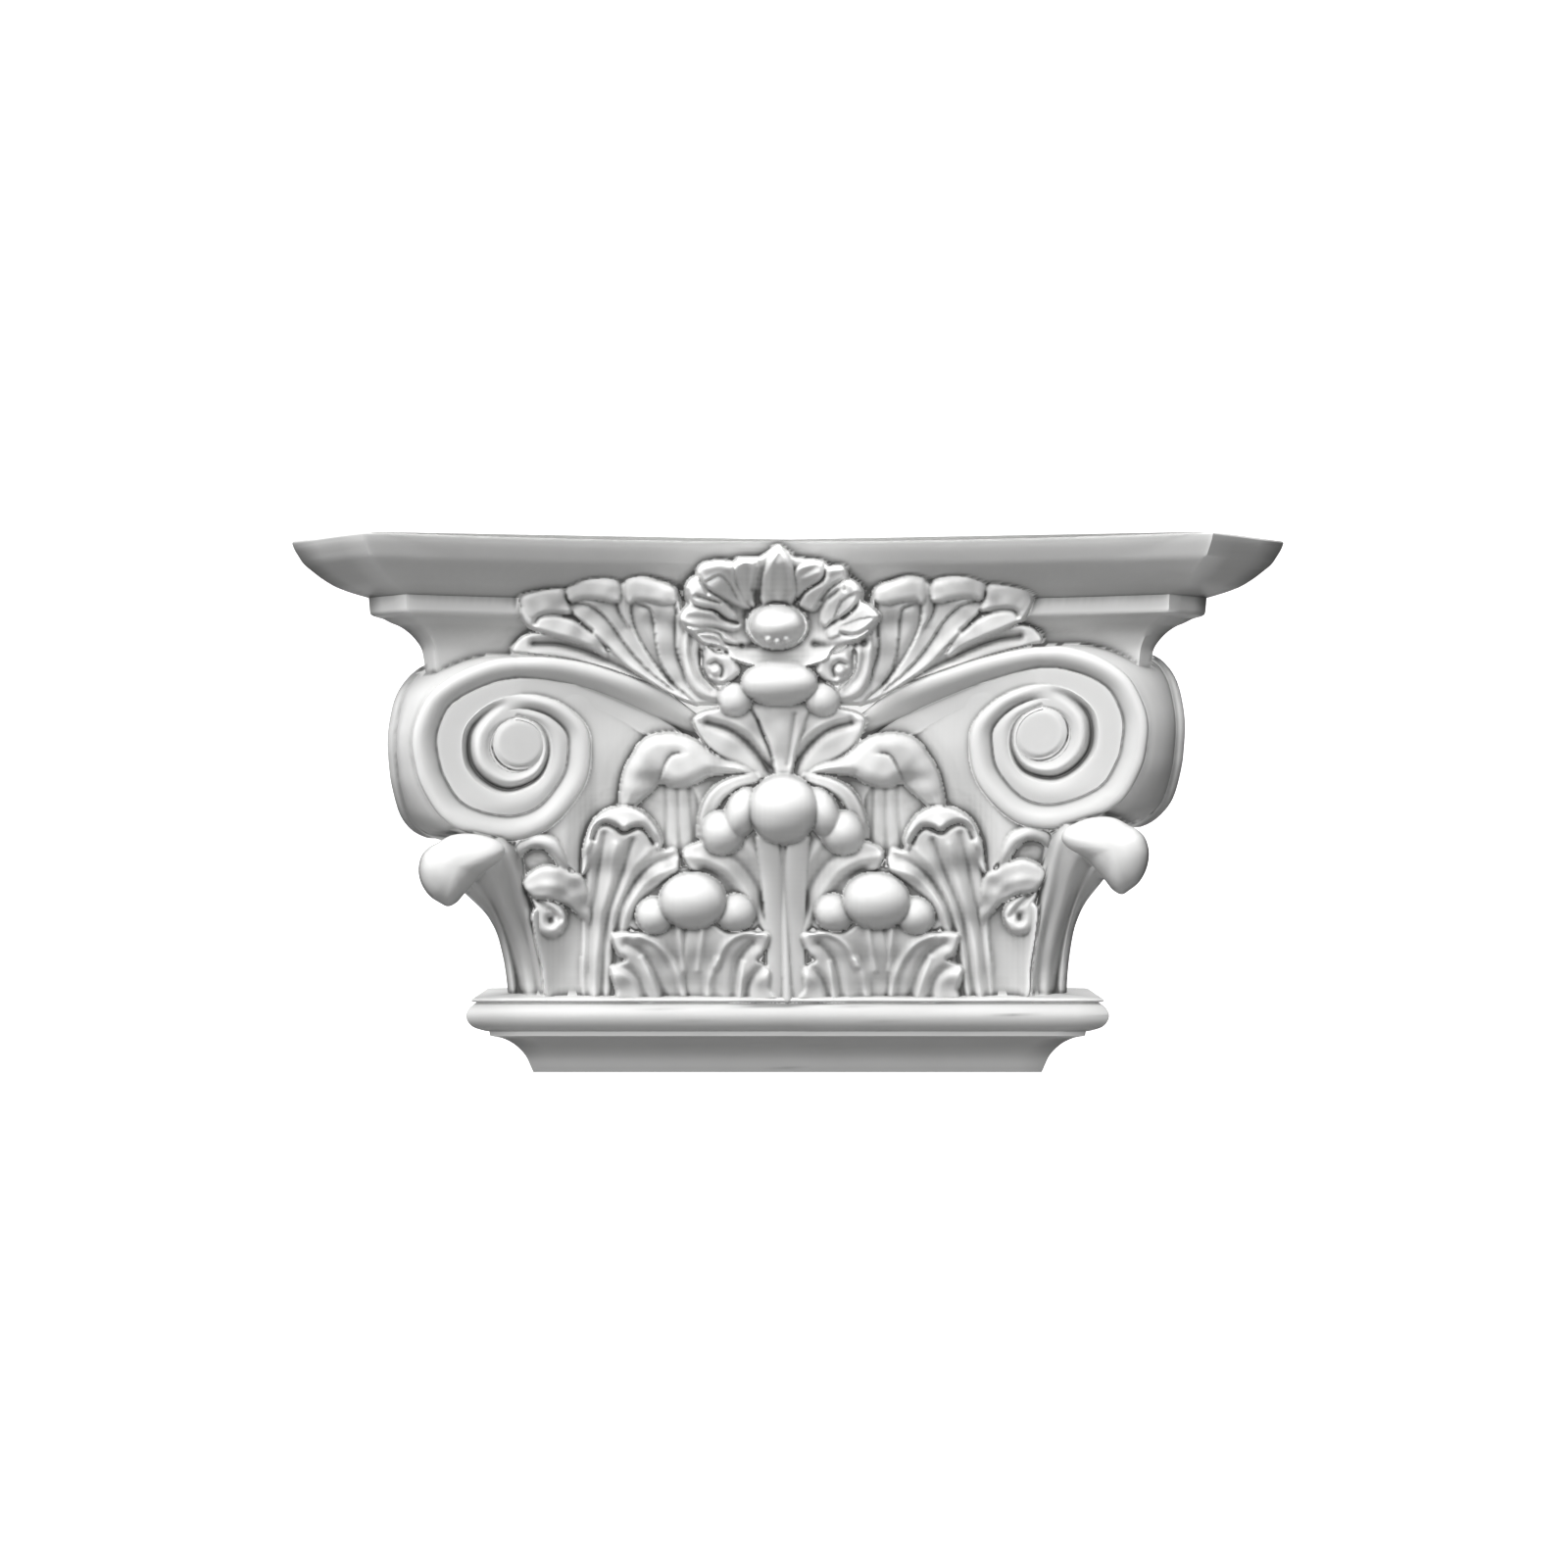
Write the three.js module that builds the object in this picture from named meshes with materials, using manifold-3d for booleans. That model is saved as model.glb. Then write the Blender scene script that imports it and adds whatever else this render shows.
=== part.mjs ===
// A composite pilaster capital, cast in one piece: a moulded neck, a leafy bell, scrolled corners and a
// hollow-sided abacus. Millimetres, +Z up, front towards -Y. The origin is the middle of the flat back.
import * as THREE from "three";
import { mergeVertices } from "three/addons/utils/BufferGeometryUtils.js";
import Module from "manifold-3d";

const wasm = await Module();
wasm.setup();

// Driving sizes.
const HEIGHT = 206;
const NECK_HALF_WIDTH = 101.5; // the pilaster shaft below is 203 mm wide
const NECK_PROJECTION = 20;
const ABACUS_CORNER = { x: 153, depth: 105 }; // where the hollow front meets the cut corner
const ABACUS_TIP = { x: 185.5, depth: 74 }; // where the cut corner meets the side
const ABACUS_MIDDLE_DEPTH = 73.5;
const FULL_AXIS_DEPTH = -80; // the centre of the whole square capital that this is the front of
const MITRE = 0.41; // how far a corner shifts sideways as the moulding steps in by 1

// The carving is drawn as it is seen from the front, in pixels of the 1600 pixel photograph.
const PIXEL = 0.4; // mm on the wall plane
const PHOTO_CENTRE = 800;
const EYE = { x: -1.4, z: 12, distance: 889 };

// The carver's own centre line leans a little, and the right-hand corner sits a little high.
const LINE_AT_BASE = { px: 803.5, py: 1018 };
const LINE_LEAN = 0.0291;
const CORNER_LIFT = { most: 18, from: 170, to: 345, top: 880, bottom: 1000 };

const PLASTER = new THREE.MeshStandardMaterial({ color: 0xc9c9c7, roughness: 0.75, metalness: 0 });

const smooth = (t) => {
  const c = Math.min(1, Math.max(0, t));
  return c * c * (3 - 2 * c);
};

// A point of the drawing, moved towards the eye until it lies `depth` in front of the wall.
function seen(px, py, depth) {
  const shrink = PIXEL * (1 - depth / EYE.distance);
  return new THREE.Vector3(
    (px - PHOTO_CENTRE) * shrink + EYE.x,
    -depth,
    (PHOTO_CENTRE - py) * shrink + EYE.z,
  );
}

// The same for the left hand (-1) or, mirrored in the carver's line and lifted, the right hand (1).
function carved(side, px, py, depth) {
  const line = LINE_AT_BASE.px - LINE_LEAN * (LINE_AT_BASE.py - py);
  if (side < 0) return seen(px, py, depth);
  const out = smooth((line - px - CORNER_LIFT.from) / (CORNER_LIFT.to - CORNER_LIFT.from));
  const up = smooth((CORNER_LIFT.bottom - py) / (CORNER_LIFT.bottom - CORNER_LIFT.top));
  return seen(2 * line - px, py - CORNER_LIFT.most * out * up, depth);
}

// Mirrors a point in the diagonal of the whole capital, which takes the front corner to the side.
function onSide(point) {
  const hand = Math.sign(point.x);
  const forward = -point.y - FULL_AXIS_DEPTH;
  return new THREE.Vector3(hand * forward, -(Math.abs(point.x) + FULL_AXIS_DEPTH), point.z);
}

function manifoldOf(geometry) {
  geometry.deleteAttribute("normal");
  geometry.deleteAttribute("uv");
  const merged = mergeVertices(geometry, 1e-4);
  return new wasm.Manifold(
    new wasm.Mesh({
      numProp: 3,
      vertProperties: merged.attributes.position.array,
      triVerts: new Uint32Array(merged.index.array),
    }),
  );
}

// A closed solid from points and triangles, turned so that its faces point out.
function solid(points, triangles) {
  let volume = 0;
  for (const [a, b, c] of triangles) volume += points[a].dot(points[b].clone().cross(points[c]));
  const faces = volume < 0 ? triangles.map(([a, b, c]) => [a, c, b]) : triangles;
  const geometry = new THREE.BufferGeometry();
  const places = new THREE.Float32BufferAttribute(points.flatMap((p) => p.toArray()), 3);
  geometry.setAttribute("position", places);
  geometry.setIndex(faces.flat());
  return manifoldOf(geometry);
}

// A stack of rings with as many points each, joined by walls and closed at both ends.
function loft(rings) {
  const count = rings[0].length;
  const points = rings.flat();
  const triangles = [];
  for (let r = 0; r + 1 < rings.length; r++)
    for (let i = 0; i < count; i++) {
      const a = r * count + i;
      const b = r * count + ((i + 1) % count);
      triangles.push([a, b, b + count], [a, b + count, a + count]);
    }
  const cap = (ring, start, flip) => {
    const centre = ring.reduce((s, p) => s.add(p), new THREE.Vector3()).divideScalar(count);
    points.push(centre);
    const middle = points.length - 1;
    for (let i = 0; i < count; i++) {
      const a = start + i;
      const b = start + ((i + 1) % count);
      triangles.push(flip ? [middle, b, a] : [middle, a, b]);
    }
  };
  cap(rings[0], 0, true);
  cap(rings.at(-1), (rings.length - 1) * count, false);
  return solid(points, triangles);
}

// One ring of the body: a hollow or straight front, cut corners, and sides that run back to the wall.
const FRONT_STEPS = 8;
const SIDE_STEPS = 2;
function bodyRing({ z, corner, tip, middle, wall }) {
  const half = [];
  for (let i = 0; i <= SIDE_STEPS; i++) {
    const t = i / SIDE_STEPS;
    half.push([wall + (tip.x - wall) * (1 - (1 - t) ** 2), tip.depth * t]);
  }
  for (let i = 0; i < FRONT_STEPS / 2; i++) {
    const t = 1 - (2 * i) / FRONT_STEPS;
    half.push([corner.x * t, middle + (corner.depth - middle) * t * t]);
  }
  const right = half.map(([x, depth]) => new THREE.Vector3(x, -depth, z));
  const left = half.map(([x, depth]) => new THREE.Vector3(-x, -depth, z)).reverse();
  return [...right, new THREE.Vector3(0, -middle, z), ...left];
}

// The neck mouldings: [how far out from the shaft, height above the bed].
const NECK_PROFILE = [
  [0, 0], [0.8, 2.1], [2.5, 6.4], [4.9, 9.9], [7.7, 12.7], [10.8, 14.7], [13.1, 15.8], [14.5, 18.1],
  [17.3, 18.7], [20.6, 20.7], [23, 23.1], [23.4, 25.1], [22.8, 27], [21, 28.9], [20.2, 29.3], [21, 30],
  [19.6, 30.7], [7, 31.8],
];
function neckRings() {
  return NECK_PROFILE.map(([out, up]) => {
    const x = NECK_HALF_WIDTH + out;
    const front = -(NECK_PROJECTION + out);
    const z = up - HEIGHT / 2;
    return [[x, 0], [x, front], [-x, front], [-x, 0]].map(([px, py]) => new THREE.Vector3(px, py, z));
  });
}

// The bell: a plain core that flares out to the corners under the abacus.
const BELL = [
  { z: -76, corner: { x: 98, depth: 32 }, tip: { x: 106, depth: 24 }, middle: 32, wall: 106 },
  { z: -30, corner: { x: 97, depth: 37 }, tip: { x: 104, depth: 28 }, middle: 36, wall: 101 },
  { z: 5, corner: { x: 103, depth: 46 }, tip: { x: 109, depth: 39 }, middle: 39, wall: 101 },
  { z: 32, corner: { x: 121, depth: 56 }, tip: { x: 126, depth: 51 }, middle: 38, wall: 112 },
];

// The abacus, from the bell up: [how far in from the top edge, height above the origin].
const ABACUS_PROFILE = [
  [46.8, 54.9], [45.3, 63.7], [41, 69.5], [34.4, 73.3], [28.2, 75.7], [27, 77.5], [26.4, 82.8], [17.5, 85.1],
  [10.5, 89], [5.4, 93.1], [2.2, 97.2], [0, 101], [0.5, HEIGHT / 2],
];
const SIDE_HOLLOW = 0.105; // how fast the hollow side draws in behind the tip
function abacusLevels() {
  return ABACUS_PROFILE.map(([inset, z]) => {
    const tip = { x: ABACUS_TIP.x - inset, depth: ABACUS_TIP.depth - MITRE * inset };
    return {
      z,
      corner: { x: ABACUS_CORNER.x - MITRE * inset, depth: ABACUS_CORNER.depth - inset },
      tip,
      middle: ABACUS_MIDDLE_DEPTH - inset,
      wall: tip.x - tip.depth * (SIDE_HOLLOW + tip.depth / 400),
    };
  });
}

// How far the plain body stands in front of the wall behind a point of the carving.
const BODY_LEVELS = [...BELL, ...abacusLevels()];
function bodyDepth({ x, z }) {
  const above = BODY_LEVELS.findIndex((level) => level.z > z);
  const at = ({ corner, middle }) => {
    const t = Math.min(1, Math.abs(x) / corner.x);
    return middle + (corner.depth - middle) * t * t;
  };
  if (above < 0) return at(BODY_LEVELS.at(-1));
  if (above === 0) return at(BODY_LEVELS[0]);
  const [low, high] = [BODY_LEVELS[above - 1], BODY_LEVELS[above]];
  return THREE.MathUtils.lerp(at(low), at(high), (z - low.z) / (high.z - low.z));
}
const BEDDED = 4; // how deep the foot of a carved piece runs into the body

// A rounded lobe carried along a spine. Stations are [px, py, depth, half-width px]. A lobe that is
// `free` is round all over; any other stands on the body behind it.
const LOBE_STEPS = 3;
const FACING = new THREE.Vector3(0, -1, 0);
function lobe(place, stations, thick, { steps = LOBE_STEPS, sides = 6, free = false } = {}) {
  const spine = new THREE.CatmullRomCurve3(
    stations.map(([px, py, depth]) => place(px, py, depth)),
    false,
    "centripetal",
  );
  const widthAt = (t) => {
    const u = t * (stations.length - 1);
    const i = Math.min(stations.length - 2, Math.floor(u));
    return PIXEL * THREE.MathUtils.lerp(stations[i][3], stations[i + 1][3], u - i);
  };
  const rings = [];
  for (let r = 0; r <= steps; r++) {
    // The first and last rings round the ends off.
    const t = r / steps;
    const end = r === 0 || r === steps ? 0.5 : 1;
    const along = spine.getTangent(t);
    const across = along.clone().cross(FACING);
    if (across.lengthSq() < 1e-6) across.set(1, 0, 0);
    across.normalize();
    const up = across.clone().cross(along).normalize();
    const centre = spine.getPoint(t);
    const wide = widthAt(t) * end;
    const edge = (a) =>
      centre
        .clone()
        .addScaledVector(across, wide * Math.cos(a))
        .addScaledVector(up, thick * end * Math.sin(a));
    const ring = [];
    if (free) {
      for (let i = 0; i < sides; i++) ring.push(edge((2 * Math.PI * i) / sides + Math.PI / sides));
    } else {
      for (let i = 0; i <= 2; i++) ring.push(edge((Math.PI * i) / 2));
      const foot = centre.clone();
      foot.y = -Math.min(bodyDepth(centre) - BEDDED, -centre.y - 1);
      ring.push(foot);
    }
    rings.push(ring);
  }
  return loft(rings);
}

const BEAD_SIDES = 6;
const BEAD_STEPS = 4;

// A bead of fruit: an ellipsoid [px, py, depth, half-width px, half-height px, half-depth mm], drawn
// out to the rear until it is bedded in the body.
function bead(place, [px, py, depth, wide, high, deep]) {
  const at = place(px, py, depth);
  const shape = new THREE.SphereGeometry(1, BEAD_SIDES, BEAD_STEPS);
  const rear = Math.max(deep, depth - bodyDepth(at) + BEDDED);
  const { position } = shape.attributes;
  for (let i = 0; i < position.count; i++) {
    const y = position.getY(i);
    position.setXYZ(
      i,
      at.x + position.getX(i) * wide * PIXEL,
      at.y + y * (y < 0 ? deep : rear),
      at.z + position.getZ(i) * high * PIXEL,
    );
  }
  return manifoldOf(shape);
}

// The scroll: [angle in quarter turns from the top, radius of the rim's middle px, half-width px].
const SCROLL_CENTRE = { px: 526, py: 762 };
const SCROLL_STEPS = 20;
const SCROLL = [
  [0, 80, 12], [1, 93, 13], [2, 83, 13], [3, 64, 12], [4, 45, 9.5], [5, 43, 11], [6, 35, 10], [7, 27, 8],
];
const SCROLL_ARM = [[694, 733, 46, 9], [650, 708, 52, 11], [604, 690, 58, 11], [562, 682, 62, 12]];
const SCROLL_EYE = [532, 760, 68, 28, 27, 5];
const scrollDepth = (px) => 72 - 0.1 * (px - 423);
function scrollPoint(turn, radius) {
  const a = (Math.PI / 2) * (1 + turn);
  return [SCROLL_CENTRE.px + radius * Math.cos(a), SCROLL_CENTRE.py - radius * Math.sin(a)];
}
function between(list, turn, column) {
  const i = Math.min(list.length - 2, Math.floor(turn));
  return THREE.MathUtils.lerp(list[i][column], list[i + 1][column], smooth(turn - i));
}
function scroll(side) {
  const place = (px, py, depth) => carved(side, px, py, depth);
  const sidePlace = (px, py, depth) => onSide(place(px, py, depth));
  const outline = [];
  for (let i = 0; i < SCROLL_STEPS; i++) {
    const turn = (4 * i) / SCROLL_STEPS;
    const radius = between(SCROLL, turn, 1) + between(SCROLL, turn, 2) * (turn < 3 ? 1 : 4 - turn);
    const wide = turn < 3 ? radius : radius + (turn - 3) * (92 - radius) * 0.9;
    const [px, py] = scrollPoint(turn, wide);
    outline.push(place(px, py, scrollDepth(px)));
  }
  const drum = loft([outline, outline.map(onSide)]);
  const rim = [];
  for (let turn = 0; turn <= 7; turn += 0.5) {
    const [px, py] = scrollPoint(turn, between(SCROLL, turn, 1));
    rim.push([px, py, scrollDepth(px) + 1 + turn * 0.6, between(SCROLL, turn, 2)]);
  }
  return [
    drum,
    lobe(place, [...SCROLL_ARM, ...rim], 3.2, { steps: SCROLL_STEPS, sides: 4, free: true }),
    lobe(sidePlace, rim.slice(0, 7), 3.2, { steps: 7, sides: 4, free: true }),
    bead(place, SCROLL_EYE),
  ];
}

// The lower leaf: half of it, mirrored in its own middle line.
const LOWER_LEAF_LINE = 704;
const LOWER_LEAF = {
  halves: [
    [[684, 1017, 37, 7], [676, 985, 42, 10], [660, 966, 46, 11], [642, 960, 48, 10], [633, 966, 47, 8]],
    [[655, 1017, 36, 8], [647, 1000, 40, 10], [637, 988, 44, 9], [631, 987, 44, 7]],
  ],
  ribs: [
    [[697, 1017, 36, 14], [699, 980, 40, 15], [702, 940, 46, 15]],
    [[724, 1017, 36, 10], [722, 980, 40, 11], [719, 940, 46, 11]],
  ],
  fruit: [
    [707, 919, 53, 33, 27, 13],
    [668, 933, 49, 19, 18, 8],
    [750, 930, 49, 20, 18, 8],
  ],
};
function lowerLeaf(side) {
  const place = (px, py, depth) => carved(side, px, py, depth);
  const turned = (px, py, depth) => place(2 * LOWER_LEAF_LINE - px, py, depth);
  return [
    ...LOWER_LEAF.halves.map((s) => lobe(place, s, 5, { steps: s.length - 2 })),
    ...LOWER_LEAF.halves.map((s) => lobe(turned, s, 5, { steps: s.length - 2 })),
    ...LOWER_LEAF.ribs.map((s) => lobe(place, s, 4, { steps: 2 })),
    ...LOWER_LEAF.fruit.map((b) => bead(place, b)),
  ];
}

// The tall leaf: two ribs under a hood that folds forward, and two fingers to its inner side.
const TALL_LEAF = [
  [[604, 1017, 38, 9], [606, 960, 42, 10], [612, 910, 47, 11], [620, 868, 53, 14], [625, 842, 58, 14]],
  [[618, 1017, 37, 7], [624, 960, 41, 10], [635, 915, 46, 11], [648, 880, 52, 14], [652, 848, 57, 14]],
  [[600, 846, 56, 8], [612, 834, 62, 11], [636, 833, 65, 12], [655, 834, 62, 11], [667, 850, 56, 8]],
  [[628, 960, 40, 7], [640, 925, 44, 10], [657, 895, 48, 11], [676, 879, 51, 10], [687, 877, 52, 8]],
  [[645, 945, 40, 6], [655, 918, 44, 8], [672, 901, 47, 8], [690, 890, 49, 7]],
];

// The corner leaf: lines from under the scroll down to the ledge, from its back edge round to its front.
const CORNER_LEAF = [
  [[462, 897, 40], [478, 915, 30], [495, 932, 18], [508, 955, 6], [515, 982, -2], [520, 1018, -2]],
  [[459, 893, 68], [475, 911, 64], [493, 928, 46], [508, 955, 32], [514, 982, 25], [519, 1018, 18]],
  [[472, 885, 76], [488, 903, 70], [504, 927, 52], [516, 953, 40], [522, 980, 33], [527, 1018, 27]],
  [[478, 880, 72], [496, 898, 64], [512, 925, 46], [524, 952, 36], [530, 980, 29], [534, 1018, 24]],
  [[497, 860, 77], [515, 878, 70], [527, 915, 54], [539, 948, 44], [546, 978, 38], [553, 1018, 33]],
  [[509, 848, 74], [524, 868, 66], [536, 912, 50], [545, 947, 42], [552, 977, 36], [560, 1018, 31]],
  [[516, 848, 40], [530, 868, 34], [541, 912, 30], [549, 947, 28], [556, 977, 26], [563, 1018, 22]],
];
// Its tip, rolled over.
const CORNER_CURL = [
  [528, 925, 42, 14], [508, 890, 54, 19], [480, 877, 66, 22], [460, 881, 76, 26], [453, 897, 80, 25],
  [456, 912, 78, 15],
];

function cornerLeaf(place) {
  const stations = CORNER_LEAF[0].map((_, i) => CORNER_LEAF.map((line) => place(...line[i])));
  return loft(stations);
}

// The small leaf between the two: its stem, its lip turned over, the drop below and the hood above.
const TONGUE_LEAF = [
  [[577, 1017, 30, 20], [573, 975, 33, 20], [566, 930, 36, 18]],
  [[604, 930, 46, 9], [590, 912, 50, 13], [570, 900, 54, 14], [550, 897, 56, 11], [538, 902, 57, 6]],
];
const TONGUE_DROP = [562, 936, 42, 16, 19, 8];
const HOOD = [
  [527, 905, 44, 6], [526, 882, 50, 7], [533, 866, 56, 7], [548, 860, 58, 7], [562, 866, 57, 7],
  [571, 880, 52, 6], [577, 896, 46, 5],
];

// The bud that leaves the middle and droops over the bell, and the flutes of its stalk.
const BUD_BODY = [
  [772, 790, 60, 3], [748, 785, 62, 9], [722, 779, 65, 15], [700, 782, 67, 19], [684, 787, 65, 14],
];
const BUD_TAIL = [
  [712, 763, 61, 10], [690, 761, 63, 13], [667, 769, 63, 16], [652, 788, 61, 16], [643, 806, 57, 13],
  [640, 817, 54, 8],
];
const STALK_FLUTES = [
  [[697, 866, 36, 17], [693, 830, 41, 17], [690, 795, 48, 17]],
];

// The middle leaf behind the fruit: a fine rib, and on each hand a broad one and a band that turns out.
const MIDDLE_RIB = [[803.5, 1017, 40, 5], [803.5, 940, 44, 5], [802, 862, 50, 5]];
const MIDDLE_LEAF = [
  [[793, 1017, 36, 10], [790, 950, 40, 11], [785, 900, 45, 13], [776, 855, 52, 14]],
  [[786, 1017, 35, 8], [779, 960, 39, 12], [762, 915, 43, 15], [736, 887, 47, 14], [708, 875, 50, 10]],
  [[780, 930, 40, 9], [762, 893, 46, 13], [738, 868, 51, 12]],
];
const MIDDLE_FRUIT = [[799, 825, 66, 35, 34, 15]];
const MIDDLE_FRUIT_SIDE = [[737, 848, 60, 21, 22, 10]];
const MIDDLE_FRUIT_LONG = [[745, 812, 64, 9], [757, 829, 66, 13], [768, 848, 64, 9]];

// The calyx above it, and the egg and balls on top.
const CALYX = [
  [[788, 787, 50, 5], [768, 768, 54, 11], [746, 752, 57, 15], [725, 740, 59, 14], [714, 736, 59, 10]],
];
const CALYX_MIDDLE = [[798, 790, 54, 9], [798, 762, 57, 18], [797, 735, 60, 27], [796, 714, 62, 31]];
const EGG = [796, 697, 70, 38.5, 21.5, 12];
const EGG_BALL = [750, 713, 68, 17, 16, 7.5];

// The rosette on the abacus: petals at [degrees round from the top, length px] about a ball.
const ROSETTE = {
  px: 792,
  py: 637,
  depth: 72,
  ball: [792, 637, 86, 25, 21, 10],
  collar: [792, 640, 78, 36, 27, 7],
};
const PETALS = [[30, 76], [53, 88], [77, 97], [101, 93]];
const TOP_PETAL_LENGTH = 80;

// The upper leaf, which fans out from beside the egg, with its tips curled against the abacus.
const UPPER_LEAF = [
  [
    [722, 712, 58, 7], [690, 702, 56, 10], [650, 682, 57, 12], [612, 656, 60, 14], [580, 638, 64, 17],
    [560, 618, 70, 20],
  ],
  [
    [728, 714, 58, 6], [700, 702, 58, 10], [668, 678, 61, 13], [640, 646, 65, 17], [618, 618, 70, 22],
    [603, 600, 72, 22],
  ],
  [
    [734, 714, 59, 6], [708, 700, 60, 10], [688, 670, 62, 14], [673, 640, 66, 18], [663, 614, 71, 24],
    [660, 602, 72, 24],
  ],
  [[700, 714, 48, 6], [650, 692, 49, 10], [600, 668, 50, 11], [560, 656, 52, 11], [534, 660, 54, 9]],
];
const UPPER_BUD = [736, 682, 70, 17, 15, 7];

function carving(side) {
  const place = (px, py, depth) => carved(side, px, py, depth);
  return [
    ...scroll(side),
    ...lowerLeaf(side),
    ...TALL_LEAF.map((s) => lobe(place, s, 5)),
    cornerLeaf(place),
    lobe(place, CORNER_CURL, 11, { steps: 5, free: true }),
    ...TONGUE_LEAF.map((s) => lobe(place, s, 5)),
    bead(place, TONGUE_DROP),
    lobe(place, HOOD, 4, { steps: 4 }),
    lobe(place, BUD_BODY, 7),
    lobe(place, BUD_TAIL, 5.5),
    ...STALK_FLUTES.map((s) => lobe(place, s, 4, { steps: 2 })),
    ...MIDDLE_LEAF.map((s) => lobe(place, s, 5)),
    ...MIDDLE_FRUIT_SIDE.map((b) => bead(place, b)),
    lobe(place, MIDDLE_FRUIT_LONG, 8),
    ...CALYX.map((s) => lobe(place, s, 5)),
    bead(place, EGG_BALL),
    ...UPPER_LEAF.map((s) => lobe(place, s, 5)),
    bead(place, UPPER_BUD),
  ];
}

function rosette() {
  const petal = (degrees, length) => {
    const a = THREE.MathUtils.degToRad(90 + degrees);
    const at = (r, depth, half) => [
      ROSETTE.px + r * Math.cos(a),
      ROSETTE.py - r * Math.sin(a),
      depth,
      half,
    ];
    const { depth } = ROSETTE;
    const stations = [at(18, depth, 8), at(length * 0.6, depth + 6, 15), at(length * 0.88, depth + 7, 13)];
    return lobe(seen, stations, 4, { steps: 2 });
  };
  return [
    bead(seen, ROSETTE.ball),
    bead(seen, ROSETTE.collar),
    petal(0, TOP_PETAL_LENGTH),
    ...PETALS.flatMap(([degrees, length]) => [petal(degrees, length), petal(-degrees, length)]),
  ];
}

function middle() {
  return [
    lobe(seen, MIDDLE_RIB, 5, { steps: 2 }),
    ...MIDDLE_FRUIT.map((b) => bead(seen, b)),
    lobe(seen, CALYX_MIDDLE, 5, { steps: 3 }),
    bead(seen, EGG),
  ];
}

function capital() {
  const parts = [
    loft(neckRings()),
    loft(BODY_LEVELS.map(bodyRing)),
    ...carving(-1),
    ...carving(1),
    ...middle(),
    ...rosette(),
  ];
  const wall = manifoldOf(new THREE.BoxGeometry(500, 200, 400).translate(0, 100, 0));
  return wasm.Manifold.union(parts).subtract(wall);
}

function meshOf(name, made) {
  const { vertProperties, triVerts, numProp } = made.getMesh();
  const geometry = new THREE.BufferGeometry();
  const places = new Float32Array((vertProperties.length / numProp) * 3);
  for (let i = 0; i < places.length / 3; i++)
    for (let k = 0; k < 3; k++) places[i * 3 + k] = vertProperties[i * numProp + k];
  geometry.setAttribute("position", new THREE.BufferAttribute(places, 3));
  geometry.setIndex(new THREE.BufferAttribute(triVerts, 1));
  geometry.computeVertexNormals();
  const mesh = new THREE.Mesh(geometry, PLASTER);
  mesh.name = name;
  return mesh;
}

const group = new THREE.Group();
group.add(meshOf("capital", capital()));

export default group;
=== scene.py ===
"""A cast plaster capital for a flat pilaster, seen straight from the front.

Millimetres inside the helpers, metres in the meshes. The front of the carving is drawn in pixels of
the 1600 pixel photograph, with a depth in front of the wall for each point.
"""
import math

import bpy
import numpy as np
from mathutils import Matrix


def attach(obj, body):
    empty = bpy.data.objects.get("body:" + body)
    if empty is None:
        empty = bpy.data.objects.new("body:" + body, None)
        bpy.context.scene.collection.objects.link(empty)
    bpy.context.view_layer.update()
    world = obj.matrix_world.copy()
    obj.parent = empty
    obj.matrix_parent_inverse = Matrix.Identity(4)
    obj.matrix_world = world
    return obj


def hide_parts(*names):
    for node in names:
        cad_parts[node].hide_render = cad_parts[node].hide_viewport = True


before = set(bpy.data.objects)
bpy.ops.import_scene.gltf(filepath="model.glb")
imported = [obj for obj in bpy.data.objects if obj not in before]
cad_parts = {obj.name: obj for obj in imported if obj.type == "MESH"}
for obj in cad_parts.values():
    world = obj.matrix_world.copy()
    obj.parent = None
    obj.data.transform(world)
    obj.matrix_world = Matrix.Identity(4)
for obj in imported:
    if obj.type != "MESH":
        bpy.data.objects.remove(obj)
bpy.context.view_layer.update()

MM = 0.001

# The view, and the scale of the drawing on the wall plane.
PIXEL = 0.4
PHOTO_CENTRE = 800.0
EYE = {"x": -1.4, "z": 12.0, "distance": 889.0}

# The body.
HEIGHT = 206.0
NECK_HALF_WIDTH = 101.5
NECK_PROJECTION = 20.0
ABACUS_CORNER = (153.0, 105.0)
ABACUS_TIP = (185.5, 74.0)
ABACUS_MIDDLE_DEPTH = 73.5
FULL_AXIS_DEPTH = -80.0
MITRE = 0.41

# The carver's centre line leans a little and the right-hand corner sits a little high.
LINE_AT_BASE = (803.5, 1018.0)
LINE_LEAN = 0.0291
CORNER_LIFT = {"most": 18.0, "from": 170.0, "to": 345.0, "top": 880.0, "bottom": 1000.0}

LIFT_ROUNDS = 4  # rounds that settle the lift when it is undone


def smooth_step(t):
    """0 below 0, 1 above 1, and t*t*(3-2*t) between."""
    t = np.clip(t, 0.0, 1.0)
    return t * t * (3.0 - 2.0 * t)


def centre_line(py):
    """The leaning middle line of the carving at the height py."""
    return LINE_AT_BASE[0] - LINE_LEAN * (LINE_AT_BASE[1] - py)


def seen(px, py, depth):
    """The point that stands depth mm in front of the wall and is seen at (px, py)."""
    px, py, depth = np.broadcast_arrays(
        np.asarray(px, float), np.asarray(py, float), np.asarray(depth, float))
    shrink = PIXEL * (1.0 - depth / EYE["distance"])
    return np.stack([(px - PHOTO_CENTRE) * shrink + EYE["x"], -depth,
                     (PHOTO_CENTRE - py) * shrink + EYE["z"]], axis=-1)


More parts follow.
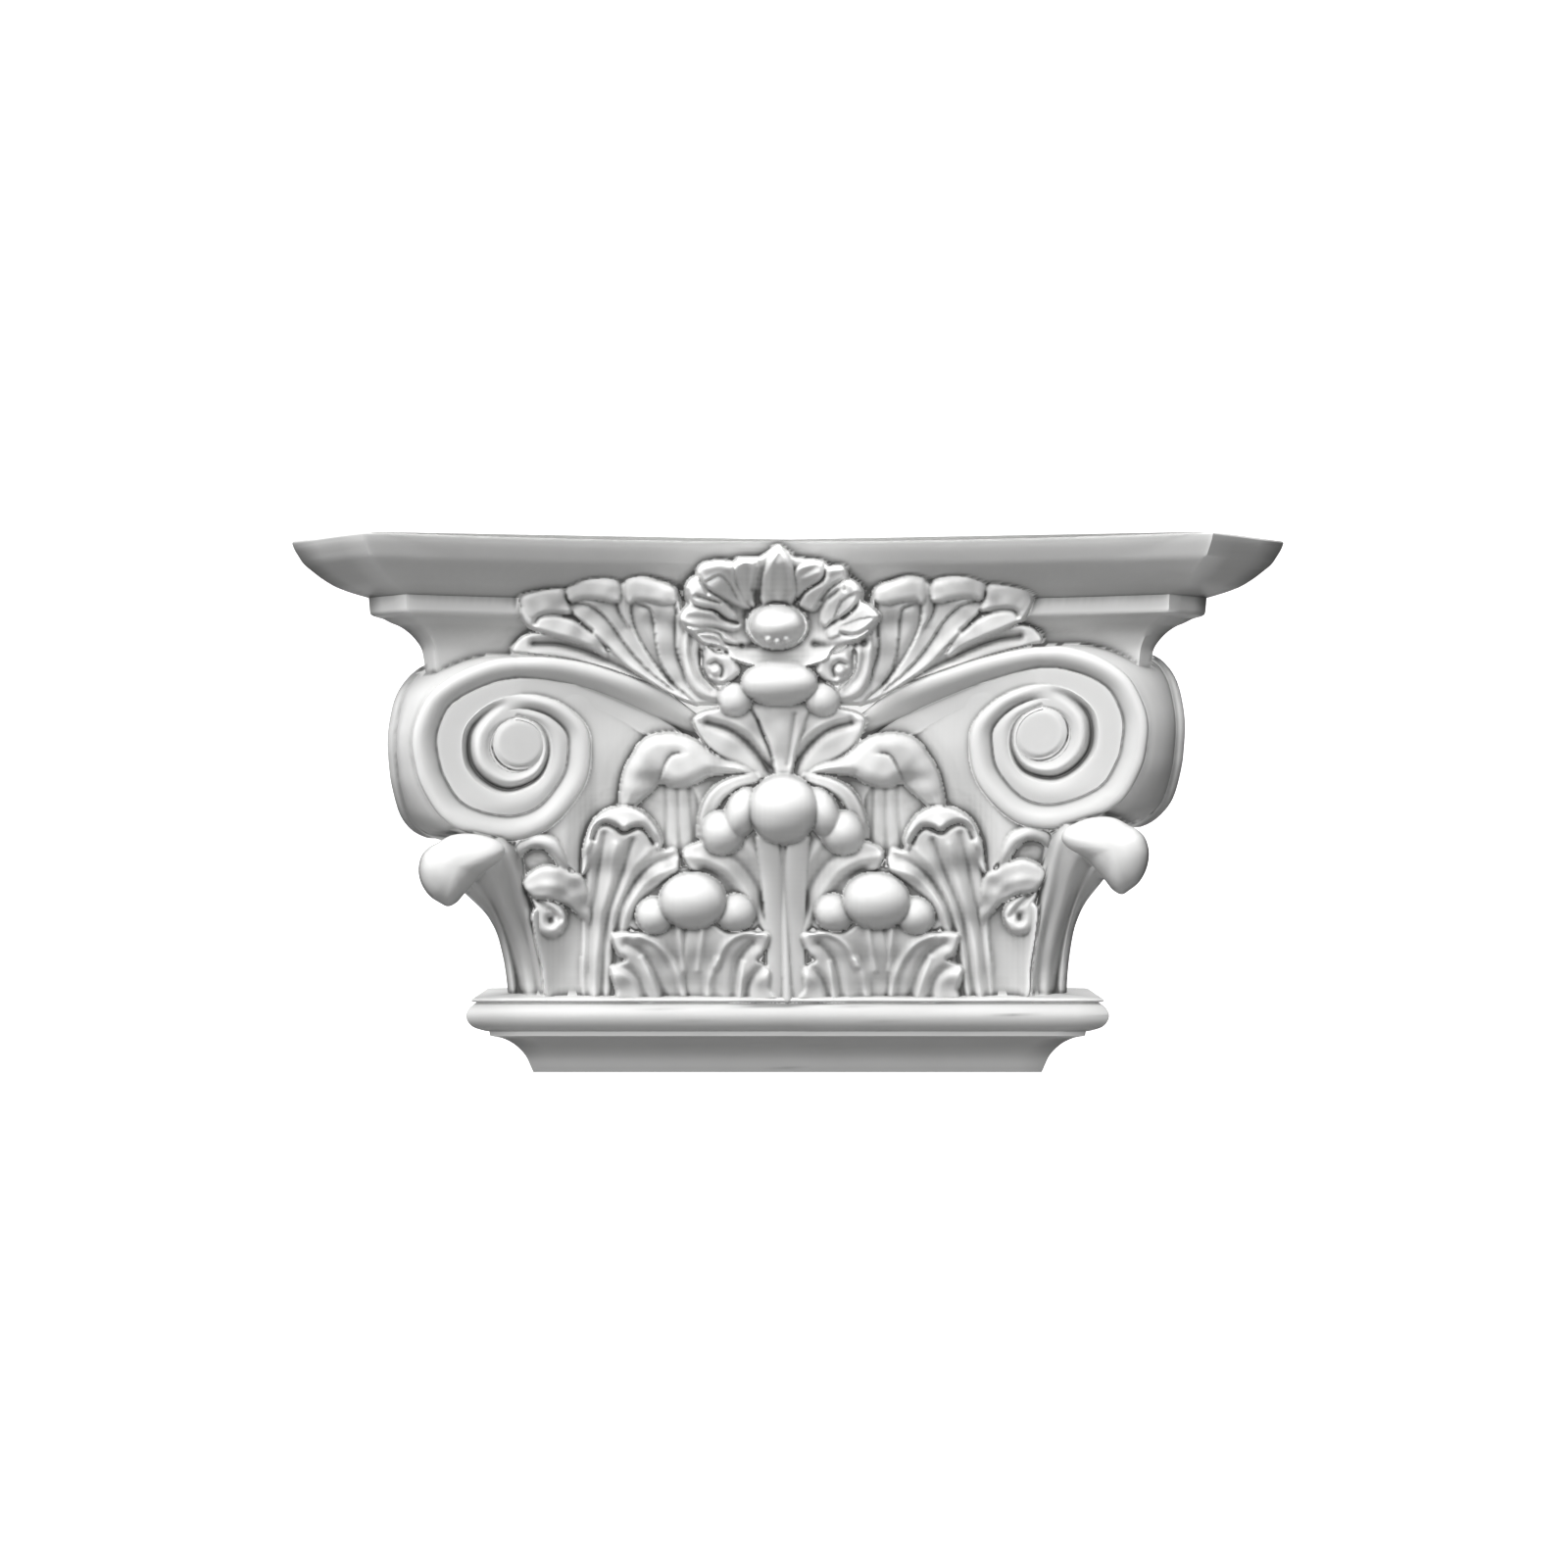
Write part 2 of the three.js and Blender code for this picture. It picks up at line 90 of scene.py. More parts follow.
def lift(px, py):
    """How far (px, py) of the left hand is raised when it is mirrored to the right hand."""
    out = smooth_step((centre_line(py) - px - CORNER_LIFT["from"])
                      / (CORNER_LIFT["to"] - CORNER_LIFT["from"]))
    up = smooth_step((CORNER_LIFT["bottom"] - py) / (CORNER_LIFT["bottom"] - CORNER_LIFT["top"]))
    return CORNER_LIFT["most"] * out * up


def carved(side, px, py, depth):
    """seen() for the left hand (-1), or the same mirrored in the carver's line for the right (1)."""
    px, py = np.asarray(px, float), np.asarray(py, float)
    if side < 0:
        return seen(px, py, depth)
    return seen(2.0 * centre_line(py) - px, py - lift(px, py), depth)


def left_hand(px, py):
    """The place in the left-hand drawing that a place of the photograph belongs to: carved() turned
    round, by rounds of ly = py + lift(lx, ly) and lx = 2 * centre_line(ly) - px."""
    lx = np.where(px > centre_line(py), 2.0 * centre_line(py) - px, px)
    ly = np.array(py, float)
    right = px > centre_line(py)
    for _ in range(LIFT_ROUNDS):
        ly = np.where(right, py + lift(lx, ly), py)
        lx = np.where(right, 2.0 * centre_line(ly) - px, px)
    return lx, ly


def curve(points, count, closed=False):
    """count points, evenly spaced by point number, on the Catmull-Rom curve through points."""
    p = np.asarray(points, float)
    if closed:
        through = np.vstack([p[-1], p, p[:2]])
        u = np.linspace(0.0, len(p), count, endpoint=False)
        i = u.astype(int)
    else:
        through = np.vstack([2 * p[0] - p[1], p, 2 * p[-1] - p[-2]])
        u = np.linspace(0.0, len(p) - 1.0, count)
        i = np.minimum(u.astype(int), len(p) - 2)
    t = (u - i)[:, None]
    a, b, c, d = (through[i + k] for k in range(4))
    return 0.5 * (2 * b + (c - a) * t + (2 * a - 5 * b + 4 * c - d) * t ** 2
                  + (3 * b - a - 3 * c + d) * t ** 3)


class Shells:
    """Points and faces of the shells that make up one piece."""

    def __init__(self):
        self.points = []
        self.faces = []
        self.count = 0

    def add(self, points, faces):
        """Appends points and faces; the faces' numbers go up by the points that are already there."""
        self.points.append(np.asarray(points, float).reshape(-1, 3))
        self.faces.append(np.asarray(faces, dtype=np.int64) + self.count)
        self.count += len(self.points[-1])

    def all_points(self):
        """Every point, none behind the wall."""
        points = np.vstack(self.points)
        points[:, 1] = np.minimum(points[:, 1], 0.0)
        return points

    def all_quads(self):
        """Every face as four corners; a triangle repeats its last one."""
        return np.vstack([f if f.shape[1] == 4 else f[:, [0, 1, 2, 2]] for f in self.faces])

    def grid(self, rows, closed=False, flip=False):
        """Quads over an array of points (row, column, xyz); closed joins the last column to the first."""
        r, c, _ = rows.shape
        i, j = np.meshgrid(np.arange(r - 1), np.arange(c if closed else c - 1), indexing="ij")
        i2, j2 = i + 1, (j + 1) % c
        quads = np.stack([i * c + j, i * c + j2, i2 * c + j2, i2 * c + j], -1).reshape(-1, 4)
        if flip:
            quads = quads[:, ::-1]
        self.add(rows, quads)


def wound_inwards(rows):
    """Whether quads over closed rings wind inwards: the sum of a . (b x c) over them is below 0."""
    centre = rows.reshape(-1, 3).mean(0)
    p = rows - centre
    nxt = np.roll(p, -1, axis=1)
    a, b, c, d = p[:-1], nxt[:-1], nxt[1:], p[1:]
    volume = np.einsum("ijk,ijk->", a, np.cross(b, c)) + np.einsum("ijk,ijk->", a, np.cross(c, d))
    return volume < 0


# The body: mouldings and bell.
def body_level(z, corner, tip, middle, wall):
    """A level of the body at the height z. Half width and projection of the cut corner's front end
    (corner) and side end (tip), the projection at the middle of the front, the half width at the wall."""
    return np.array([z, *corner, *tip, middle, wall], float)


def body_ring(level, front=220, side=10):
    """A ring of the body. Along the side the width is wall + (tip - wall) * (1 - (1 - t)**2), over the
    cut corner a straight line, along the front the projection is middle + (corner - middle) * t**2."""
    z, cx, cd, tx, td, middle, wall = level
    t = np.linspace(0, 1, side + 1)
    sides = np.stack([wall + (tx - wall) * (1 - (1 - t) ** 2), td * t], -1)
    t = np.linspace(0, 1, CUT_POINTS)[1:-1, None]
    cut = (1 - t) * np.array([[tx, td]]) + t * np.array([[cx, cd]])
    t = np.linspace(1, -1, front + 1)
    face = np.stack([cx * t, middle + (cd - middle) * t * t], -1)
    right = np.vstack([sides, cut])
    ring = np.vstack([right, face, (right * [-1, 1])[::-1]])
    return np.column_stack([ring[:, 0], -ring[:, 1], np.full(len(ring), z)])


CUT_POINTS = 4  # along the cut corner, its ends counted
BELL_STEPS = 20  # rings between two levels of the bell
BELL = [
    body_level(-76, (98, 32), (106, 24), 32, 106),
    body_level(-30, (97, 37), (104, 28), 36, 101),
    body_level(5, (103, 46), (109, 39), 39, 101),
    body_level(32, (121, 56), (126, 51), 38, 112),
]

# Mouldings of the abacus: (inset from the top edge, height).
COVE = [
    (46.8, 54.9), (46.1, 60), (45.3, 63.7), (43.5, 66.7), (41, 69.5), (37.7, 71.9), (34.4, 73.3),
    (30.4, 75.4),
]
FASCIA = [(30.4, 75.4), (28.2, 75.7), (27.3, 76.3), (27.0, 77.5), (26.6, 82.6), (26.2, 83.0)]
OVOLO = [
    (24.6, 83.2), (18.8, 84.8), (14.7, 86.4), (10.5, 89), (7.2, 91.6), (4.1, 94.3), (2.2, 97.2),
    (0.7, 99.9), (0, 102),
]
TOP_EDGE = [(0, 102.3), (0.3, 102.8), (0.8, 103.0)]


def abacus_level(inset, z):
    """A level of the abacus, inset from its top edge. At the wall its half width is
    tip width - tip depth * (0.105 + tip depth / 400), so that the side is hollow like the front."""
    tip = (ABACUS_TIP[0] - inset, ABACUS_TIP[1] - MITRE * inset)
    corner = (ABACUS_CORNER[0] - MITRE * inset, ABACUS_CORNER[1] - inset)
    return body_level(z, corner, tip, ABACUS_MIDDLE_DEPTH - inset,
                      tip[0] - tip[1] * (0.105 + tip[1] / 400))


def body_levels():
    """The levels from the neck to the top: straight mixes within the bell, then the mouldings."""
    bell = [(1 - t) * low + t * high for low, high in zip(BELL[:-1], BELL[1:])
            for t in np.linspace(0, 1, BELL_STEPS, endpoint=False)]
    profile = np.vstack([curve(COVE, 22), FASCIA[1:-1], curve(OVOLO, 28), TOP_EDGE])
    return np.array(bell + [BELL[-1]] + [abacus_level(inset, z) for inset, z in profile])


LEVELS = body_levels()


def body_depth(x, z):
    """Depth of the plain body behind (x, z): each level's hollow front, mixed by height."""
    heights, corner_x, corner_d, middle = (LEVELS[:, k] for k in (0, 1, 2, 5))
    middle, corner_x, corner_d = (np.interp(z, heights, v) for v in (middle, corner_x, corner_d))
    t = np.minimum(1.0, np.abs(x) / corner_x)
    return middle + (corner_d - middle) * t * t


def flat_ended_stack(shells, rings):
    """A stack of level rings, closed at both ends by a flat fan of triangles."""
    rows = np.array(rings)
    shells.grid(rows, closed=True, flip=wound_inwards(rows))
    for ring, up in ((rows[0], -1), (rows[-1], 1)):
        base = np.vstack([ring.mean(0), ring])
        n = len(ring)
        faces = [(0, 1 + i, 1 + (i + 1) % n) for i in range(n)]
        normal = np.cross(base[1] - base[0], base[2] - base[0])[2]
        if normal * up < 0:
            faces = [f[::-1] for f in faces]
        shells.add(base, faces)


# Mouldings of the neck: (outwards from its foot, height over it).
CAVETTO = [
    (0, 0), (0.8, 2.1), (2.5, 6.4), (4.9, 9.9), (7.7, 12.7), (10.8, 14.7), (13.1, 15.6), (15.2, 16.2),
]
FILLET = (15.5, 18.0)
TORUS = [(16.6, 18.2), (20.6, 20.0), (22.6, 22.2), (23.4, 24.8), (22.8, 27.1), (21.2, 28.9), (19.4, 29.6)]
LEDGE = [(19.8, 29.9), (21.2, 30.2), (21.7, 30.8), (21.2, 31.4), (19.8, 31.7), (7, 31.9)]


def neck(shells):
    """The neck: its mouldings' profile carried along the front and round the two corners."""
    profile = np.vstack([curve(CAVETTO, 24), [FILLET], curve(TORUS, 26), curve(LEDGE[:5], 12),
                         LEDGE[5:]])
    rings = []
    for out, up in profile:
        x, d = NECK_HALF_WIDTH + out, NECK_PROJECTION + out
        right = [(x, 0), (x, d / 2), (x, d - 0.5), (x - 0.15, d - 0.15), (x - 0.5, d)]
        front = [(x * t, d) for t in np.linspace(0.9, -0.9, 19)]
        left = [(-a, b) for a, b in right][::-1]
        rings.append([(a, -b, up - HEIGHT / 2) for a, b in right + front + left])
    flat_ended_stack(shells, rings)


# The scrolls: the drawn edge of the spiral from its top inwards. Turns are counted in quarters.
SCROLL_CENTRE = (526.0, 762.0)
SCROLL_EDGE = [
    (530, 670), (500, 674), (465, 688), (438, 708), (424, 735), (420, 757), (423, 780), (430, 803),
    (450, 834), (480, 851), (518, 858), (550, 851), (575, 832), (597, 800), (603, 768), (599, 742),
    (580, 722), (556, 711), (530, 709), (500, 718), (477, 738), (471, 760), (476, 785), (495, 804),
    (520, 811), (550, 798), (562, 775), (561, 752), (550, 737), (530, 731),
]
# Width of the rim and depth of the groove (turns, px or mm).
RIM_WIDTH = [(0, 22), (1, 26), (2, 26), (3, 24), (3.6, 18), (4.0, 14), (8, 14)]
GROOVE_DEPTH = [
    (0, 0), (4.1, 0), (4.7, 4.4), (5.2, 6.6), (5.7, 6.2), (6.3, 4.0), (6.9, 2.0), (7.4, 1.0), (8, 0.5),
]
COIL_STEP = 0.22  # how much nearer each quarter turn stands
QUARTERS = 8.0  # quarter turns of the whole spiral
COIL_END_RADIUS = 26.0
BUTTON = {"px": 530, "py": 759, "wide": 29, "high": 28.5}
LIP_DEPTH = 6  # how far the inner edge goes down into the scroll
SUNK = {"radius": 0.7, "depth": 9.0}  # the end of the drum behind the spiral


def scroll_depth(px):
    """The plane of the scroll's face: 70 at px 423, and 0.1 less for each px towards the middle."""
    return 70.0 - 0.1 * (px - 423.0)


def round_scroll(r, a):
    """The drawn place at the radius r and the angle a round the scroll's centre."""
    return SCROLL_CENTRE[0] + r * np.cos(a), SCROLL_CENTRE[1] - r * np.sin(a)


def scroll_radius():
    """Edge radius against quarter turns from the top, read off the drawn edge."""
    edge = curve(SCROLL_EDGE, 400)
    dx, dy = edge[:, 0] - SCROLL_CENTRE[0], SCROLL_CENTRE[1] - edge[:, 1]
    angle = np.unwrap(np.arctan2(dy, dx))
    return angle / (math.pi / 2) - 1.0, np.hypot(dx, dy)


def on_side(points):
    """Mirrors points in the diagonal of the whole capital: the front corner becomes the side one. The
    distance from the middle becomes depth + 80, and the depth becomes that distance - 80."""
    hand = np.sign(points[..., :1])
    forward = -points[..., 1:2] - FULL_AXIS_DEPTH
    back = -(np.abs(points[..., :1]) + FULL_AXIS_DEPTH)
    return np.concatenate([hand * forward, back, points[..., 2:]], -1)


# The arm that runs into the scroll from the calyx: outer and inner edge (px, py, depth).
ARM_OUTER = [
    (722, 736, 43), (704, 723, 46), (680, 705, 50), (650, 693, 53), (620, 683, 55), (600, 677, 56),
    (580, 673, 57), (552, 670, 59), (526, 670, 59.7),
]
ARM_INNER = [
    (711, 758, 41), (690, 743, 44), (665, 729, 48), (642, 718, 51), (615, 707, 53.5), (597, 701, 55),
    (577, 697, 56), (550, 693, 58.5), (526, 692, 59.7),
]


def plate_depth(px, py):
    """The plate beside the scroll: the plane of the scroll's face, 1.3 lower beside the rim. It sinks
    into the bell by 7 * smooth((px - 615) / 85) and, lower down, by 11 * smooth((py - 755) / 125)."""
    mouth = np.exp(-((px - 590) / 38) ** 2 - ((py - 706) / 22) ** 2)
    inward = 7 * smooth_step((px - 615) / 85) * smooth_step((py - 730) / 50)
    down = 11 * smooth_step((py - 755) / 125) * smooth_step((px - 575) / 35)
    return scroll_depth(px) - 1.3 * (1 - mouth) - inward - down


def rim_rise(across):
    """The band's outer rim, for c from 0 to 1: up within the first third, 2.7 * (1 - (1 - 3c)**2)**0.5,
    then down into a crease, 4.2 * cos((c - 1/3) * 3 * pi / 4) - 1.5."""
    c = np.clip(across, 0, 1)
    up = 2.7 * np.sqrt(np.clip(1 - (1 - 3 * c) ** 2, 0, 1))
    down = 4.2 * np.cos((c - 1 / 3) * 0.75 * math.pi) - 1.5
    return np.where(c < 1 / 3, up, down)


def coil_rise(turn, share):
    """The inner coil across its width, share 0 to 1: 0.5, less a groove of its own depth times
    exp(-((share - 0.24) / 0.17)**2), with a ring of 0.9 * exp(-((share - 0.62) / 0.2)**2) next to the
    eye and its foot 0.7 lower."""
    groove = np.interp(turn, *zip(*GROOVE_DEPTH))
    ring = 0.9 * np.exp(-((share - 0.62) / 0.2) ** 2) * smooth_step((turn - 4.2) / 0.8)
    foot = 0.7 * smooth_step((share - 0.8) / 0.2)
    return 0.5 - groove * np.exp(-((share - 0.24) / 0.17) ** 2) + ring - foot


def scroll(shells, side, mirrored=False):
    """Sweep along the arm and the spiral, at r = edge radius - s. Across it: the rim, then a flat channel
    up to the next turn, 0.9 * sin(pi * share) fuller. In the last turn the rim gives way to the inner
    coil, and every quarter turn stands 0.22 nearer."""
    turns, radii = scroll_radius()
    T = np.linspace(0.0, QUARTERS, 260)[:, None]
    across = np.concatenate([np.linspace(0, 1, 19), 1 + np.linspace(0.03, 1, 15)])[None, :]
    outer = np.interp(T, turns, radii)
    inner = np.where(T < 4, np.interp(T + 4, turns, radii), COIL_END_RADIUS)
    rim = np.minimum(np.interp(T, *zip(*RIM_WIDTH)), outer - inner)
    s = np.where(across <= 1, across * rim, rim + (across - 1) * (outer - inner - rim))
    swell = 0.9 * np.sin(math.pi * np.clip(across - 1, 0, 1)) * smooth_step((T - 1.2) / 0.8)
    early = np.where(across <= 1, rim_rise(across), 0.5 + swell)
    late = coil_rise(T, s / np.maximum(outer - inner, 1e-6))
    turned = smooth_step((T - 3.55) / 0.6)
    rise = (1 - turned) * early + turned * late + COIL_STEP * T
    r = outer - s
    a = (math.pi / 2) * (1 + T)
    px, py = round_scroll(r, a)
    depth = scroll_depth(px) + rise
    if not mirrored:
        o, i = curve(ARM_OUTER, 46)[:-1, None], curve(ARM_INNER, 46)[:-1, None]
        c = across[..., None]
        arm = o + np.minimum(c, 1) * (i - o) + np.maximum(c - 1, 0) * 0.75 * (i - o)
        past = np.maximum(across - 1, 0)
        far = np.linspace(1, 0, 45)[:, None]
        beside = scroll_depth(arm[..., 0]) + 0.5 - 1.8 * past * far ** 0.5
        face = arm[..., 2] + rim_rise(across)
        px, py = np.vstack([arm[..., 0], px]), np.vstack([arm[..., 1], py])
        depth = np.vstack([np.where(across <= 1, face, beside), depth])
    front = carved(side, px, py, depth)
    wall = [carved(side, px[:, :1], py[:, :1], depth[:, :1] - back) for back in (9.0, 4.0, 1.5, 0.4)]
    lip = carved(side, px[:, -1:], py[:, -1:], depth[:, -1:] - LIP_DEPTH)
    rows = np.concatenate(wall + [front, lip], axis=1)
    if mirrored:
        rows = on_side(rows)
    shells.grid(rows, flip=(side > 0) == mirrored)
    button(shells, side, mirrored)


def button(shells, side, mirrored):
    """The scroll's eye: 3 high, less 0.9 * smooth((u - 0.72) / 0.22) towards its edge at u = 1, with a
    crease of 0.8 * exp(-((u - 0.86) / 0.07)**2) along its lower half."""
    u = np.linspace(0, 1, 14)[:, None]
    v = np.linspace(0, 2 * math.pi, 48, endpoint=False)[None, :]
    ex = BUTTON["px"] + BUTTON["wide"] * u * np.cos(v)
    ey = BUTTON["py"] - BUTTON["high"] * u * np.sin(v)
    top = 3.0 - 0.9 * smooth_step((u - 0.72) / 0.22) - 6 * (u > 0.99)
    crease = 0.8 * np.exp(-((u - 0.86) / 0.07) ** 2) * np.clip(-np.sin(v), 0, 1) ** 2
    eye = carved(side, ex, ey, scroll_depth(ex) + top - crease)
    if mirrored:
        eye = on_side(eye)
    shells.grid(eye, closed=True, flip=(side > 0) == mirrored)


def drum(shells, side):
    """The edge of the scrolled band: straight mixes of the front spiral's edge and its mirror on the
    side, fuller by 1.6 * sin(pi * t) and thinner by 1.6 * exp(-(t / 0.07)**2) at each end. Both ends
    close on a smaller ring that is sunk behind the spiral."""
    turns, radii = scroll_radius()
    T = np.linspace(0, 4, 90, endpoint=False)
    r = np.interp(T, turns, radii)
    close = smooth_step((T - 3.1) / 0.9)
    r = r * (1 - close) + close * radii[0]
    rings = []
    a = (math.pi / 2) * (1 + T)
    for t in np.linspace(0, 1, 13):
        ends = math.exp(-(t / 0.07) ** 2) + math.exp(-((1 - t) / 0.07) ** 2)
        swell = 1.6 * math.sin(math.pi * t) - 1.6 * ends
        px, py = round_scroll(r + swell / PIXEL, a)
        front = carved(side, px, py, scroll_depth(px) - 1.0)
        rings.append((1 - t) * front + t * on_side(front))
    px, py = round_scroll(SUNK["radius"] * r, a)
    sunk = carved(side, px, py, scroll_depth(px) - SUNK["depth"])
    point_ended_stack(shells, [sunk] + rings + [on_side(sunk)])


def point_ended_stack(shells, rings):
    """A stack of rings in any direction, each end closed on the middle of its last ring."""
    rows = np.array(rings)
    first = np.repeat(rows[:1].mean(1, keepdims=True), rows.shape[1], axis=1)
    last = np.repeat(rows[-1:].mean(1, keepdims=True), rows.shape[1], axis=1)
    rows = np.concatenate([first, rows, last])
    shells.grid(rows, closed=True, flip=wound_inwards(rows))


def cushion(shells, side, outline, centre, depth, rise, back, power, tilt):
    """A pillow over a closed outline: rise * (1 - r**power)**0.5 in front and -back in place of rise
    behind, with r from 0 at the centre to 1 at the outline, on a plane that leans by tilt."""
    edge = curve(outline, 140, closed=True)
    front = np.concatenate([np.linspace(0, 0.9, 14), np.linspace(0.93, 1, 6)])
    behind = np.linspace(0.98, 0, 12)
    rows = []
    for r, bulge in [(x, rise) for x in front] + [(x, -back) for x in behind]:
        px = centre[0] + r * (edge[:, 0] - centre[0])
        py = centre[1] + r * (edge[:, 1] - centre[1])
        lean = tilt[0] * (px - centre[0]) + tilt[1] * (py - centre[1])
        rows.append(carved(side, px, py, depth + lean + bulge * (1 - r ** power) ** 0.5))
    rows = np.array(rows)
    shells.grid(rows, closed=True, flip=wound_inwards(rows))


# The relief: every leaf and fruit of the front as a depth over the drawing.
class Relief:
    """Depth over a grid of the drawing. Forms are laid on as the greatest depth so far."""

    rough = 40.0  # the depth that stands in for the true one where the body behind is looked up
    buried = 2.5  # how far below the body the empty sheet lies
    shown = 2.2  # how far below it a place still belongs to the carving
    tip_share = 0.12  # the share of a rope's length over which a round tip comes down
    hollow_width = 0.45  # in half widths of the rope

    def __init__(self, left, right, top, bottom, step):
        self.px, self.py = np.meshgrid(np.arange(left, right + step, step),
                                       np.arange(top, bottom + step, step))
        self.lx, self.ly = left_hand(self.px, self.py)
        behind = seen(self.px, self.py, self.rough)
        self.base = body_depth(behind[..., 0], behind[..., 2])
        self.depth = self.base - self.buried

    def near(self, points, reach, both):
        """Mask and places of the grid within reach of the points' box; both hands or as drawn."""
        x, y = (self.lx, self.ly) if both else (self.px, self.py)
        p = np.asarray(points, float)
        mask = ((x > p[:, 0].min() - reach) & (x < p[:, 0].max() + reach)
                & (y > p[:, 1].min() - reach) & (y < p[:, 1].max() + reach))
        return mask, x[mask], y[mask]

    def lay(self, mask, depth):
        """Keeps the greater depth; a place outside the form has none."""
        self.depth[mask] = np.fmax(self.depth[mask], depth)

    def bead(self, px, py, depth, wide, high, deep, both=True, turn=0.0):
        """An ellipsoid: depth + deep * sqrt(1 - (x/wide)**2 - (y/high)**2)."""
        reach = max(wide, high)
        mask, x, y = self.near([(px, py)], reach, both)
        c, s = math.cos(math.radians(turn)), math.sin(math.radians(turn))
        dx, dy = x - px, py - y
        e = ((dx * c + dy * s) / wide) ** 2 + ((dy * c - dx * s) / high) ** 2
        h = np.where(e < 1, depth + deep * np.sqrt(np.clip(1 - e, 0, 1)), np.nan)
        self.lay(mask, h)

    def rope(self, stations, rise, hollow=0.0, tips=(1.0, 1.0)):
        """A lobe along a spine of (px, py, depth, half-width): depth + rise * (1 - s*s)**0.5, with a
        hollow of exp(-(s/0.45)**2) along its middle. tips says how far each end is rounded down."""
        count = 26
        spine = curve(stations, count)
        reach = spine[:, 3].max() + 2
        mask, x, y = self.near(spine[:, :2], reach, True)
        a, b = spine[:-1], spine[1:]
        ax, ay = a[:, 0][None], a[:, 1][None]
        ux, uy = (b - a)[:, 0][None], (b - a)[:, 1][None]
        length = ux ** 2 + uy ** 2
        t = np.clip(((x[:, None] - ax) * ux + (y[:, None] - ay) * uy) / length, 0, 1)
        dist = np.hypot(x[:, None] - ax - t * ux, y[:, None] - ay - t * uy)
        width = a[:, 3][None] * (1 - t) + b[:, 3][None] * t
        k = np.argmin(dist / width, axis=1)
        row = np.arange(len(x))
        s = dist[row, k] / width[row, k]
        t = t[row, k]
        d = a[k, 2] * (1 - t) + b[k, 2] * t
        whole = (k + t) / (count - 1)
        end = np.clip(np.minimum(whole / self.tip_share + 1 - tips[0],
                                 (1 - whole) / self.tip_share + 1 - tips[1]), 0, 1)
        form = np.clip(1 - s * s, 0, 1) ** 0.5 - hollow * np.exp(-(s / self.hollow_width) ** 2)
        self.lay(mask, np.where(s < 1, d + rise * form * np.sqrt(end), np.nan))

    def leaf(self, outline, levels, lines=(), roll=5.0, drop=3.0, both=True):
        """A sheet inside a closed outline, at a depth mixed from the levels or given by a function. The
        edge rolls over by drop within roll px. A line (points, width, amount) raises or cuts it by
        amount * exp(-(distance/width)**2). A fold has a fourth value, 1 for the right hand of the line
        and -1 for the left: amount * exp(-distance/width) on that side only."""
        edge = curve(outline, 6 * len(outline), closed=True)
        mask, x, y = self.near(edge, 3, both)
        a, b = edge, np.roll(edge, -1, axis=0)
        dist = distance_to(x, y, a, b)
        inside = winding(x, y, a, b)
        h = levels(x, y) if callable(levels) else mixed(x, y, levels)
        q = np.clip(1 - dist / roll, 0, 1)
        h = h - drop * (1 - np.sqrt(np.clip(1 - q * q, 0, 1)))
        for points, width, amount, *fold in lines:
            p = curve(points, 4 * len(points)) if len(points) > 2 else np.asarray(points, float)
            near = distance_to(x, y, p[:-1], p[1:], signed=bool(fold))
            if fold:
                along = np.clip(near / width * fold[0], 0, None)
                h = h + np.where(near * fold[0] > 0, amount * np.exp(-along), 0)
            else:
                h = h + amount * np.exp(-(near / width) ** 2)
        self.lay(mask, np.where(inside, h, np.nan))

    def crease(self, points, width, amount, both=True):
        """A cut along a curve: amount * exp(-(distance/width)**2) off the depth."""
        p = curve(points, 6 * len(points)) if len(points) > 2 else np.asarray(points, float)
        mask, x, y = self.near(p, 3 * width, both)
        away = distance_to(x, y, p[:-1], p[1:])
        self.depth[mask] -= amount * np.exp(-(away / width) ** 2)

    def soften(self, rounds):
        """Rounds off every edge a little, as a mould does: a 3 by 3 average, repeated."""
        for _ in range(rounds):
            p = np.pad(self.depth, 1, mode="edge")
            self.depth = (4 * self.depth + p[:-2, 1:-1] + p[2:, 1:-1] + p[1:-1, :-2] + p[1:-1, 2:]) / 8

    def shell(self, shells, first, last):
        """The part of the sheet that stands out of the body, between two shares of its height, as quads."""
        points = seen(self.px, self.py, self.depth)
        out = self.depth > self.base - self.shown
        keep = out[:-1, :-1] | out[1:, :-1] | out[:-1, 1:] | out[1:, 1:]
        r, c = self.depth.shape
        rows = np.arange(r - 1)[:, None]
        keep = keep & (rows >= int(first * r)) & (rows < int(last * r))
        index = np.arange(r * c).reshape(r, c)
        quads = np.stack([index[:-1, :-1], index[1:, :-1], index[1:, 1:], index[:-1, 1:]], -1)[keep]
        used = np.unique(quads)
        new = np.full(r * c, -1)
        new[used] = np.arange(len(used))
        shells.add(points.reshape(-1, 3)[used], new[quads])


def mixed(x, y, levels):
    """Depth mixed from levels (px, py, depth), each weighted by (distance**2 + 110)**-1.5."""
    softness, falling = 110.0, -1.5
    lv = np.asarray(levels, float)
    w = ((x[:, None] - lv[:, 0]) ** 2 + (y[:, None] - lv[:, 1]) ** 2 + softness) ** falling
    return (w * lv[:, 2]).sum(1) / w.sum(1)


